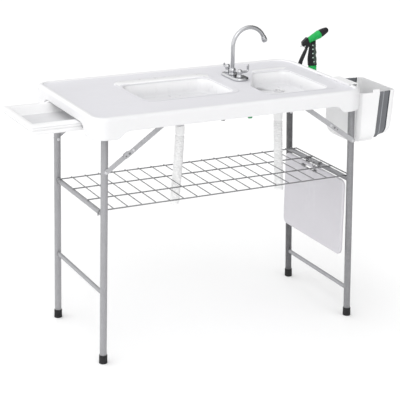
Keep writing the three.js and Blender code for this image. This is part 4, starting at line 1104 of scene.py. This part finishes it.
def build_hooks():
    hx, hy, hz, rr = 469, -30, SHELF_Z + 3.4, 3.9
    pts = []
    for i in range(9):
        t = -0.9 + (i / 8) * (math.pi + 0.9)
        pts.append(V(hx + rr * math.cos(t), hy, hz + rr * math.sin(t)))
    pts += [V(hx - rr, hy, hz - 6), V(hx - rr + 0.6, hy, hz - 12),
            V(hx - rr + 4.5, hy, hz - 16.2), V(hx - rr + 9, hy, hz - 13), V(hx - rr + 10, hy, hz - 8)]
    sh = Shape()
    sh.sweep(spline(pts, 4), 1.5, 10)
    finish_piece("right_utility_hook_bent", sh, "wire_grey", "shelf", ["right_utility_hook"], sharp=60)


build_hooks()


# -------------------------------------------------------------------- board
def build_board():
    x0, x1, y0, y1, z0, z1 = 483, 495, -226, 215, 258, 565
    sh = Shape()

    def rr(i, r):
        return rrect(y0 + i, y1 - i, z0 + i, z1 - i, r, 10, (16, 12))

    def lay(loop, x):
        return [(x, a, b) for a, b in loop]
    slot_o = rrect(-31, 83, 539, 553, 6.9, 8, (8, 1))
    slot_i = rrect(-29.8, 81.8, 540.2, 551.8, 5.8, 8, (8, 1))
    rings = []
    for i, r, x in ((9.0, 19.5, x0 + 0.9), (7.6, 20.5, x0 + 0.6), (6.6, 21, x0 + 0.05), (3.2, 23.5, x0), (1.4, 25, x0 + 0.5), (0.4, 25.8, x0 + 1.6), (0, 26, x0 + 3.2),
                    (0, 26, x1 - 3.2), (0.4, 25.8, x1 - 1.6), (1.4, 25, x1 - 0.5), (3.2, 23.5, x1), (6.6, 21, x1 - 0.05), (7.6, 20.5, x1 - 0.6), (9.0, 19.5, x1 - 0.9)):
        rings.append(lay(rr(i, r), x))
    sh.loft(rings, cap0=False, cap1=False)

    def face(x, flip):
        s = Shape()
        s.plate(rr(9.0, 19.5), [slot_o], 0, up=True)
        v = [(x, q[0], q[1]) for q in s.v]
        sh.add(v, [tuple(reversed(f)) if flip else f for f in s.f])
    face(x0 + 0.9, True)
    face(x1 - 0.9, False)
    sh.loft([lay(slot_o, x0 + 0.9), lay(slot_i, x0 + 2.2), lay(slot_i, x1 - 2.2), lay(slot_o, x1 - 0.9)], cap0=False, cap1=False)
    finish_piece("cutting_board_moulded", sh, "board_white", "board", ["cutting_board"], sharp=45)


build_board()
for _n in ("rear", "front"):
    refine(f"board_hanger_{_n}", "hanger_grey", "table", bevel=0.5)


# --------------------------------------------------------------------- tray
def build_tray():
    x0, x1, yo, z0, z1 = -752, -500, 155, 866, 898
    sh = Shape()

    def rr(i, r):
        return rrect(x0 + i, x1 - i, -yo + i, yo - i, r, 8, (12, 14))

    def well(i, r):
        # the well's outline at the top, moved in by i
        return rrect(-728 + i, -507 - i, -112 + i, 131 - i, r, 8, (12, 14))

    def floor(i, r):
        return rrect(-721 + i, -514 - i, -105 + i, 111 - i, r, 8, (12, 14))
    rings = []
    for i, r, z in ((8, 5, z0), (4.0, 7, z0 + 0.3), (2.0, 8.5, z0 + 1.4), (1.4, 9, z0 + 3.0), (1.2, 9, 879.0), (1.4, 9, 879.8), (3.8, 7, 880.2),
                    (3.8, 7, 883.8), (1.0, 9, 884.4), (0.6, 9.4, 885.4), (0.3, 9.6, 890.2), (0.5, 9.6, 890.7), (2.0, 8.2, 891.0),
                    (2.0, 8.2, 892.2), (0.4, 9.6, 892.5), (0, 10, 893.2), (0, 10, z1 - 2.2), (0.5, 9.7, z1 - 0.8), (1.8, 9, z1)):
        rings.append(at(rr(i, r), z))
    for i, r, z in ((-3.2, 7, z1), (-1.4, 6, z1 - 0.4), (-0.3, 5.2, z1 - 1.6), (0.3, 5, z1 - 3.2)):
        rings.append(at(well(i, r), z))
    for i, r, z in ((0, 5, 872.5), (0.7, 5, 870.8), (2.2, 5.4, 869.6), (4.5, 6, 869.15)):
        rings.append(at(floor(i, r), z))
    # painted shade: the floor cap takes the darker floor material, standing in for the shade in the well
    marks = [0] * len(rings)
    marks[-1] = 1
    sh.loft(rings, mats=marks)
    finish_piece("side_tray_moulded", sh, ["hdpe_tray", "hdpe_tray_floor_painted_shade"], "tray", ["side_tray"], sharp=40)


build_tray()
for _n in ("front", "rear"):
    refine(f"tray_rail_{_n}", "steel_grey", "table", bevel=0.4)

# ---------------------------------------------------------------------- bin
BIN = dict(x0=533, y0=-235, y1=20, z0=707, z1=905, xt=702, t=3)
BAND_W = 54


def band_x(z, edge):
    """the band's edge on the inner shell (0) and on the outer shell (1)"""
    return 611 + 13 * (z - 740) / 165 + BAND_W * edge


def u_section(y0, y1, z0, z1, r, n=12, m=12):
    """(y, z, outward y, outward z) down the front side, under and up the back"""
    out = [(y0, z1 - k * (z1 - z0 - r) / n, -1, 0) for k in range(n)]
    for k in range(m):
        t = math.pi / 2 * k / m
        out.append((y0 + r - r * math.cos(t), z0 + r - r * math.sin(t), -math.cos(t), -math.sin(t)))
    for k in range(n):
        out.append((y0 + r + k * (y1 - y0 - 2 * r) / n, z0, 0, -1))
    for k in range(m):
        t = math.pi / 2 * k / m
        out.append((y1 - r + r * math.sin(t), z0 + r - r * math.cos(t), math.sin(t), -math.cos(t)))
    out += [(y1, z0 + r + k * (z1 - z0 - r) / n, 1, 0) for k in range(n + 1)]
    return out


def build_bin():
    b = BIN
    refine("bin_inner_shell", "hdpe_tray", "bin", bevel=0.8, segs=2, angle=25, sharp=32)
    refine("bin_outer_shell", "hdpe_tray", "bin_outer", bevel=0.8, segs=2, angle=25, sharp=32)
    # rolled beads along the two shells' top edges
    bead = Shape()
    path = [V(band_x(904, 0) - 2.5, b["y0"] + 1.6, 904.6), V(590, b["y0"] + 1.6, 904.6)]
    for k in range(13):
        t = math.pi / 2 * k / 12
        path.append(V(563 - 28.4 * math.sin(t), b["y0"] + 30 - 28.4 * math.cos(t), 904.6))
    path += [V(534.6, y, 904.6) for y in (-160, -107, -60)]
    for k in range(13):
        t = math.pi / 2 * k / 12
        path.append(V(563 - 28.4 * math.cos(t), b["y1"] - 30 + 28.4 * math.sin(t), 904.6))
    path += [V(590, b["y1"] - 1.6, 904.6), V(band_x(904, 0) - 2.5, b["y1"] - 1.6, 904.6)]
    bead.sweep(path, 1.9, 12)
    finish_piece("bin_inner_rim_bead", bead, "hdpe_tray", "bin", sharp=50)
    bead = Shape()
    ya, yb = b["y0"] + 10 + 1.6, b["y1"] - 10 - 1.6
    path = [V(band_x(904, 1) + 2.5, ya, 904.6), V(690, ya, 904.6)]
    for k in range(9):
        t = math.pi / 2 * k / 8
        path.append(V(691.5 + 8.9 * math.sin(t), ya + 9.5 - 9.5 * math.cos(t), 904.6))
    path += [V(700.4, y, 904.6) for y in (-180, -107, -30)]
    for k in range(9):
        t = math.pi / 2 * k / 8
        path.append(V(691.5 + 8.9 * math.cos(t), yb - 9.5 + 9.5 * math.sin(t), 904.6))
    path += [V(690, yb, 904.6), V(band_x(904, 1) + 2.5, yb, 904.6)]
    bead.sweep(path, 1.8, 12)
    finish_piece("bin_outer_rim_bead", bead, "hdpe_tray", "bin_outer", sharp=50)
    # the soft band: thin hems at both shells and two folds with a ridge between them
    sh = Shape()
    cols = 33
    a = u_section(b["y0"] + 3.3, b["y1"] - 3.3, b["z0"] + 3.3, 904.7, 41.7)
    c = u_section(b["y0"] + 10, b["y1"] - 10, b["z0"] + 20, 904.7, 38)

    def depth(s):
        # how far the surface stands out from a straight band
        hem = min(s, 1 - s)
        e = -0.1 if hem < 0.05 else -1.5
        if 0.05 <= hem < 0.09:
            e = -0.1 - 1.4 * (hem - 0.05) / 0.04
        e += 3.4 * math.exp(-((s - 0.42) / 0.045) ** 2)
        return e

    def station(s):
        o, i = [], []
        for (ay, az, ny, nz), (cy, cz, _, _) in zip(a, c):
            y, z = ay + (cy - ay) * s, az + (cz - az) * s
            x = band_x(az, 0) * (1 - s) + band_x(cz, 1) * s
            x += 0.25 * (1 - 2 * s)
            e = depth(s)
            o.append(V(x, y + ny * e, z + nz * e))
            i.append(V(x, y + ny * (e - 1.9), z + nz * (e - 1.9)))
        return o + list(reversed(i))
    rings = [station(k / (cols - 1)) for k in range(cols)]
    marks = []
    for k in range(cols):
        u = (k + 0.5) / (cols - 1)
        marks.append(1 if abs(u - 0.42) < 0.05 else 2 if min(u, 1 - u) < 0.10 else 0)
    sh.loft(rings, mats=marks)
    band = finish_piece("bin_band_pleated", sh, ["tpr_grey", "tpr_light", "tpr_hem"], None, ["bin_folding_band"], sharp=50)
    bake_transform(band)


build_bin()


# ------------------------------------------------------------------- faucet
def build_faucet():
    fx, tx, fy, zb, zt = 155, 160, 85, DECK_Z + 0.3, 947.0
    sh = Shape()

    def rr(i, r):
        return rrect(134 + i, 199 - i, fy - 73 + i, fy + 73 - i, max(r, 3), 12, (6, 16))
    rings = []
    for i, r, z in ((1.2, 28, zb), (0.3, 29, zb + 0.5), (0, 29, zb + 1.4), (0, 29, zb + 4.5), (0.5, 28.6, zb + 7.0), (1.8, 27.4, zb + 9.2), (4.0, 25.2, zb + 10.6),
                    (7.5, 22, zb + 11.4), (12, 18, zt), (20, 10, zt)):
        rings.append(at(rr(i, r), z))
    sh.loft(rings)
    finish_piece("faucet_base_cast", sh, "chrome", "table", ["faucet_base"], sharp=40)
    # spout
    cx, top, R = fx + 69, 1057.5, 69
    sp = Shape()
    pts = [V(fx, fy, 958 + k * 10.6) for k in range(10)]
    a0, a1 = math.pi, 0.4
    for i in range(41):
        a = a0 + (a1 - a0) * i / 40
        pts.append(V(cx + R * math.cos(a), fy, top + R * math.sin(a)))
    sp.sweep(pts, 7.8, 32, ends="soft")
    sp.lathe([(0, zt + 0.3), (13.2, zt + 0.3), (14.0, zt + 1.0), (14, zt + 6.6), (13.4, zt + 8.0), (12.6, zt + 8.6), (12.6, zt + 11), (13.0, zt + 12), (12.9, zt + 19),
              (12.2, zt + 22), (10.4, zt + 25), (8.8, zt + 26.6), (7.9, zt + 27.6), (0, zt + 27.6)], (fx, fy, 0), seg=40)
    end = pts[-1]
    td = V(math.sin(a1), 0, -math.cos(a1)).normalized()
    o = end - td * 4
    sp.lathe([(0, 0), (8.2, 0), (9.2, 0.8), (9.6, 2.2), (9.6, 7.5), (10.4, 8.2), (10.6, 9.2), (10.6, 20.6), (10.2, 21.4), (9.4, 22.0), (9.2, 22.6), (9.2, 23.4), (8.2, 24.0), (6.6, 23.8),
              (6.4, 21.0), (0, 21.0)], o, td, seg=40)
    # knurl flats on the outlet ring
    for k in range(20):
        a = 2 * math.pi * k / 20
        u = V(0, 1, 0)
        w = td.cross(u)
        d = u * math.cos(a) + w * math.sin(a)
        c = o + td * 15 + d * 10.35
        sp.sweep([c - td * 4.4, c + td * 4.4], 0.55, 6)
    finish_piece("faucet_spout_bent", sp, "chrome", "spout", ["faucet_spout"], sharp=40)
    for dy, nm, lx, ly, za, zc, body in ((-50, "front_handle", 35, 0, 968, 990, "front_tap"), (50, "rear_handle", 2, 33, 966, 972, "rear_tap")):
        hy = fy + dy
        h = Shape()
        h.lathe([(0, zt + 0.3), (11.2, zt + 0.3), (11.6, zt + 0.9), (11.6, zt + 4.2), (10.6, zt + 6.2), (9.6, zt + 10), (9.2, zt + 14), (9.6, zt + 16.4),
                 (9.9, zt + 19), (9.8, zt + 22.5), (8.9, zt + 26.2), (7.0, zt + 29.4), (4.2, zt + 31.4), (0, zt + 32.0)], (tx, hy, 0), seg=36)
        # lever: an arm out of the hub, its end turned up
        s0, e0, e1 = V(tx, hy, 966), V(tx + lx, hy + ly, za), V(tx + lx, hy + ly, zc + 3)
        path = spline([s0, s0.lerp(e0, 0.45) + V(0, 0, 0.3), s0.lerp(e0, 0.86), e0.lerp(e1, 0.2), e0.lerp(e1, 0.6), e1], 6)
        n = len(path)
        rad = [5.2 - 0.9 * smooth01(k / (n * 0.5)) + 0.5 * smooth01((k - n * 0.6) / (n * 0.35)) for k in range(n)]
        rad[-1] *= 0.75
        h.sweep(path, 4, 20, radii=rad)
        finish_piece(nm + "_lever", h, "chrome", body, [nm], sharp=50)


build_faucet()


def build_inlets():
    fx, fy = 160, 85
    zu, zb = DECK_UNDER_Z - 0.3, DECK_Z + 0.3

    def hexnut(sh, x, y, z0, z1, r, mat=0):
        poly = [(x + r * math.cos(math.radians(60 * k)), y + r * math.sin(math.radians(60 * k))) for k in range(6)]
        small = [(x + (r - 1) * math.cos(math.radians(60 * k)), y + (r - 1) * math.sin(math.radians(60 * k))) for k in range(6)]
        sh.loft([at(small, z0), at(poly, z0 + 0.8), at(poly, z1 - 0.8), at(small, z1)], mat=mat)

    def tail(sh, x, y):
        prof = [(0, 880), (9, 880), (9.5, 880.6)]
        z = 882
        while z < 930:
            prof += [(9.5, z), (8.9, z + 0.7), (9.5, z + 1.4)]
            z += 1.8
        prof += [(9.5, zb - 1), (0, zb - 0.4)]
        sh.lathe(prof, (x, y, 0), seg=24)
        hexnut(sh, x, y, zu - 9, zu, 15.5)
    # rear: dark connector on a short hose
    x, y = fx, fy + 50
    sh = Shape()
    tail(sh, x, y)
    finish_piece("rear_inlet_tail", sh, "connector_grey", "table", ["rear_inlet"], sharp=35)
    h = Shape()
    h.sweep(spline([V(x, y, 884), V(x, y, 860), V(x - 5, y + 4, 820), V(x - 10, y + 8, 785)], 8), 6.4, 20)
    finish_piece("rear_inlet_hose", h, "plastic_black", "table", sharp=50)
    c = Shape()
    o, ax = V(x - 10, y + 8, 790), V(-1, 1, -36).normalized()
    c.lathe([(0, 0), (7.2, 0), (8.6, 1.2), (8.8, 8), (8.0, 9), (8.0, 11), (9.2, 12), (9.5, 13), (9.5, 26), (9.0, 27), (8.2, 28), (8.2, 31), (9.0, 32),
             (9.0, 36), (8.4, 38.0), (6.4, 38.2), (6.2, 33), (0, 33)], o, ax, seg=32)
    finish_piece("rear_inlet_connector", c, "connector_grey", "table", sharp=35)
    # front: green connector
    x, y = fx, fy - 50
    sh = Shape()
    tail(sh, x, y)
    finish_piece("front_inlet_tail", sh, "connector_grey", "table", ["front_inlet"], sharp=35)
    h = Shape()
    h.sweep(spline([V(x, y, 884), V(x, y, 865), V(x + 8, y - 30, 845), V(x + 16, y - 60, 828)], 8), 6.4, 20)
    finish_piece("front_inlet_hose", h, "plastic_black", "table", sharp=50)
    c = Shape()
    o, ax = V(x + 16, y - 60, 834), V(0, -2, -32).normalized()
    c.lathe([(0, 0), (7.2, 0), (8.6, 1.2), (8.8, 7), (8.0, 8), (8.0, 9.5), (9.2, 10.5), (9.5, 11.5), (9.5, 22), (9.0, 23), (8.2, 24), (8.2, 27), (9.0, 28),
             (9.0, 32), (8.4, 34.0), (6.4, 34.2), (6.2, 30), (0, 30)], o, ax, seg=32)
    finish_piece("front_inlet_connector", c, "connector_green", "table", sharp=35)


build_inlets()


# ------------------------------------------------------------------- nozzle
def build_nozzle():
    y = 215

    def section(cx, cz, a, b, tilt=0.0, n=24, sq=2.4):
        """a rounded cross-section round (cx, cz): a along X, b along Y"""
        out = []
        for k in range(n):
            t = 2 * math.pi * k / n
            c, s = math.cos(t), math.sin(t)
            r = (abs(c) ** sq + abs(s) ** sq) ** (-1 / sq)
            out.append(V(cx + a * r * c, y + b * r * s, cz + tilt * a * r * c))
        return out
    # grip with finger swells on its front, lofted from the base ring to the barrel
    left = [(919.5, 575), (935, 573), (950, 572), (975, 575), (1000, 578.5), (1020, 582)]
    right = [(919.5, 614), (925, 612.6), (932, 609.8), (941, 610.4), (950, 610), (956, 607.4), (962, 606), (968, 608), (974, 609), (981, 606.2), (988, 604.3), (1003, 604), (1020, 603.2)]
    g = Shape()
    rings = []
    stations = 60
    for k in range(stations + 1):
        u = k / stations
        z = 919.5 + 98 * u
        lo = (along(left, z - 3) + along(left, z) + along(left, z + 3)) / 3
        hi = (along(right, z - 2) + along(right, z) + along(right, z + 2)) / 3
        cx, a = (lo + hi) / 2, (hi - lo) / 2
        b = 11.0 - 0.5 * math.sin(math.pi * u)
        if k == 0:
            a, b = a - 0.8, b - 0.8
        rings.append(section(cx, z, a, b, 0.42 * smooth01((u - 0.6) / 0.4), 32, 3.0))
    g.loft(rings)
    # the rear block that holds the barrel's end and the trigger's pivot
    blk = [(564.2, 1036.2), (560.9, 1036.0), (549, 1026), (540.6, 1018.5), (543, 1006), (551, 997.6), (566.7, 993.6), (571, 999), (577, 1001.5), (588, 1003),
           (588, 1013.5), (577.8, 1010.0), (574.2, 1010.8)]
    cxm, czm = 563, 1014
    small = [(cxm + (p[0] - cxm) * 0.94, czm + (p[1] - czm) * 0.94) for p in blk]
    g.loft([[(x, y - 7.5, z) for x, z in small], [(x, y - 6.6, z) for x, z in blk],
            [(x, y + 6.6, z) for x, z in blk], [(x, y + 7.5, z) for x, z in small]])
    # the raised eye round the loop hole
    for s in (-1, 1):
        eye = [V(548 + 4.0 * math.cos(2 * math.pi * k / 20), y + s * 7.4, 1013 + 4.0 * math.sin(2 * math.pi * k / 20)) for k in range(20)]
        ring_tube(g, eye, 1.1, 8)
    finish_piece("nozzle_grip_moulded", g, "plastic_black", "nozzle", ["nozzle_handle"], sharp=50)
    # painted shade: dark discs on both faces stand in for the loop hole and the shade in it
    hl = Shape()
    for s in (-1, 1):
        hl.lathe([(0, -0.4), (3.4, -0.4), (3.4, 0.15), (0, 0.25)], (548, y + s * 7.4, 1013), (0, s, 0), seg=18)
    finish_piece("nozzle_eye_hole", hl, "hole_dark", "nozzle", sharp=50)
    # ribbed soft insert down both sides, with a row of small light dots
    ins = Shape()
    for s in (-1, 1):
        z = 926.0
        while z < 1010:
            u = (z - 919.5) / 98
            x0_ = 594.5 - 3.5 * u
            x1_ = along(right, z) - 1.8
            rows = []
            for q in range(7):
                x = x0_ + (x1_ - x0_) * q / 6
                bulge = 10.9 - 0.5 * math.sin(math.pi * u) - 1.5 * max(0, (q - 4) / 2) ** 2
                rows.append(V(x, y + s * bulge, z))
            ins.sweep(rows, 0.95, 8)
            z += 2.9
    finish_piece("nozzle_grip_insert", ins, "grip_soft", "nozzle", sharp=60)
    dots = Shape()
    for x, z in ((587.0, 1003.8), (587.8, 987.2), (588.7, 969.8), (589.5, 952.7), (595.5, 935.6)):
        for s in (-1, 1):
            dots.lathe([(0, -0.8), (2.7, -0.8), (2.9, 0.2), (2.2, 0.8), (0, 1.0)], (x, y + s * 10.7, z), (0, s, 0), seg=16)
    finish_piece("nozzle_grip_dots", dots, "dot_light", "nozzle", sharp=50)
    # green base ring and its stub
    r = Shape()
    r.lathe([(0, 868), (9.8, 868), (11.2, 868.8), (11.5, 870), (11.5, 897.2), (15.6, 897.2), (16.9, 897.9), (17.4, 899.4), (17.2, 905), (16.4, 905.8),
             (16.4, 907), (17.1, 907.8), (16.9, 917.4), (16.0, 918.8), (0, 919.1)], (595, y, 0), seg=44)
    finish_piece("nozzle_base_ring_turned", r, "plastic_green", "nozzle", ["nozzle_base_ring"], sharp=35)
    d = V(53, 0, 23.7).normalized()
    s0 = V(570.1, y, 1022.7)
    b = Shape()
    b.lathe([(0, 0.2), (9.8, 0.2), (11.3, 1.0), (12.0, 2.6), (12.5, 6), (13.1, 13), (12.7, 14), (12.8, 15.4), (13.6, 16.4), (15.5, 37), (15.1, 38), (15.2, 39.4), (15.9, 40.4),
             (17.2, 54.0), (17.0, 56.2), (16.0, 57.7), (0, 57.8)], s0, d, seg=48)
    finish_piece("nozzle_barrel_turned", b, "plastic_green", "nozzle", ["nozzle_barrel"], sharp=35)
    t = Shape()
    t0 = s0 + d * 58.3
    t.lathe([(0, 0), (14.6, 0), (15.7, 0.8), (15.9, 3), (15.2, 12), (13.7, 22), (13.1, 25), (12.2, 30), (11.0, 34.5), (10.3, 36.2), (9.2, 37.6), (7.6, 38.9), (6.4, 39.6), (4.8, 39.7),
             (4.2, 37.5), (0, 36.5)], t0, d, seg=48)
    for k in range(20):
        a = 2 * math.pi * k / 20
        u = V(0, 1, 0)
        w = d.cross(u)
        q = u * math.cos(a) + w * math.sin(a)
        t.sweep([t0 + d * 3 + q * 15.4, t0 + d * 12 + q * 14.8, t0 + d * 22 + q * 13.3], 0.75, 6)
    finish_piece("nozzle_tip_turned", t, "plastic_black", "tip", ["nozzle_tip"], sharp=40)
    # trigger lever
    tr = Shape()
    rings = []
    line = spline([(564.2, 992.5, 0), (560.0, 984, 0), (554.9, 972, 0), (545.7, 954, 0), (537.8, 934, 0), (536.2, 921, 0), (535.6, 912.5, 0)], 6)
    n = len(line)
    for k, q in enumerate(line):
        u = k / (n - 1)
        tx, tz = (line[min(k + 1, n - 1)] - line[max(k - 1, 0)]).to_2d().normalized()
        half = (4.4 + 2.3 * smooth01(u * 1.3)) * (1 if 0 < k < n - 1 else 0.7)
        wide = 7.4 + 0.6 * u if 0 < k < n - 1 else 6.4
        ring = []
        for m in range(20):
            a = 2 * math.pi * m / 20
            c, s = math.cos(a), math.sin(a)
            rr = (abs(c) ** 3.2 + abs(s) ** 3.2) ** (-1 / 3.2)
            ox, oy = half * rr * c, wide * rr * s
            ring.append(V(q.x + (-tz) * ox, y + oy, q.y + tx * ox))
        rings.append(ring)
    tr.loft(rings)
    # the tongue round the pin, and raised edges down the lever's outside
    tg = [(559, 987), (567, 987), (566.9, 1000)] + [(562 + 5 * math.cos(math.radians(v)), 1001 + 5 * math.sin(math.radians(v))) for v in range(0, 181, 20)] + [(557.1, 1000)]
    tr.prism(tg, lambda p, q, dd: (p, dd, q), y - 3.2, y + 3.2)
    for s in (-1, 1):
        tr.sweep([V(line[k].x - 4.3 - 2.2 * smooth01(k / (n - 1) * 1.3), y + s * 5.0, line[k].y + 1.4) for k in range(8, n - 4)], 0.8, 6)
    finish_piece("nozzle_trigger_moulded", tr, "plastic_black", "trigger", ["nozzle_trigger"], sharp=50)
    lk = Shape()
    pts = [V(552, y - 9.3, 1003), V(546, y - 9.3, 1001.6), V(541.5, y - 9, 1001), V(538.8, y - 6.6, 1000.6), V(538.5, y, 1000.5),
           V(538.8, y + 6.6, 1000.6), V(541.5, y + 9, 1001), V(546, y + 9.3, 1001.6), V(552, y + 9.3, 1003)]
    lk.sweep(spline(pts, 6), 1.2, 10)
    for s in (-1, 1):
        lk.lathe([(0, -2.2), (2.2, -2.2), (2.2, 0.9), (1.4, 1.6), (0, 1.8)], (552, y + s * 9.3, 1003), (0, s, 0), seg=14)
    finish_piece("nozzle_lock_wire_bent", lk, "zinc", "lock", ["nozzle_lock_wire"], sharp=60)
    refine("nozzle_holder", "plastic_black", "table", bevel=0.8)


build_nozzle()

# ------------------------------------------------------- any CAD node left over
LEFT_OVER = {"white_hdpe": "hdpe_white", "basin_plastic": "basin_white", "grey_steel": "steel_grey", "black_plastic": "plastic_black",
             "green_plastic": "plastic_green", "chrome": "chrome", "wire_steel": "wire_grey", "grey_tpr": "tpr_grey"}
for _n, _o in NODES.items():
    if not _o.hide_render:
        _o.data.materials.clear()
        _o.data.materials.append(MATS["steel_grey"])


# ---------------------------------------------------------- floor and lights
def build_stage():
    me = bpy.data.meshes.new("floor")
    s = 14
    me.from_pydata([(-s, -s, 0), (s, -s, 0), (s, s, 0), (-s, s, 0)], [], [(0, 1, 2, 3)])
    ob = bpy.data.objects.new("floor", me)
    bpy.context.scene.collection.objects.link(ob)
    m = bpy.data.materials.new("floor_pale")
    m.use_nodes = True
    t = m.node_tree
    b = t.nodes["Principled BSDF"]
    b.inputs["Base Color"].default_value = (0.985, 0.985, 0.985, 1)
    b.inputs["Roughness"].default_value = 0.9
    b.inputs["Specular IOR Level"].default_value = 0.1
    me.materials.append(m)
    w = bpy.data.worlds.new("studio")
    bpy.context.scene.world = w
    w.use_nodes = True
    bg = w.node_tree.nodes["Background"]
    bg.inputs["Color"].default_value = (1.0, 1.0, 1.0, 1)
    wn, wl = w.node_tree.nodes, w.node_tree.links
    tc = wn.new("ShaderNodeTexCoord")
    dot = wn.new("ShaderNodeVectorMath")
    dot.operation = "DOT_PRODUCT"
    dot.inputs[1].default_value = (-0.93, -0.15, 0.33)
    wl.new(tc.outputs["Generated"], dot.inputs[0])
    ramp = wn.new("ShaderNodeMapRange")
    ramp.interpolation_type = "SMOOTHSTEP"
    ramp.inputs["From Min"].default_value = -0.75
    ramp.inputs["From Max"].default_value = 0.45
    ramp.inputs["To Min"].default_value = 0.06
    ramp.inputs["To Max"].default_value = 1.42
    wl.new(dot.outputs["Value"], ramp.inputs["Value"])
    wl.new(ramp.outputs["Result"], bg.inputs["Strength"])

    def area(name, loc, target, size, power, color=(1, 1, 1)):
        d = bpy.data.lights.new(name, "AREA")
        d.shape = "SQUARE"
        d.size = size
        d.energy = power
        d.color = color
        o = bpy.data.objects.new(name, d)
        bpy.context.scene.collection.objects.link(o)
        o.location = loc
        o.rotation_mode = "QUATERNION"
        o.rotation_quaternion = (Vector(target) - Vector(loc)).to_track_quat("-Z", "Y")
    area("key", (-1.6, -3.0, 3.6), (0, 0, 0.8), 2.2, 22)
    area("fill", (3.2, -2.4, 2.2), (0, 0, 0.7), 2.4, 6)
    area("back", (0.6, 3.4, 3.0), (0, 0, 0.9), 2.4, 6)


build_stage()
bpy.context.scene.view_settings.view_transform = "Standard"
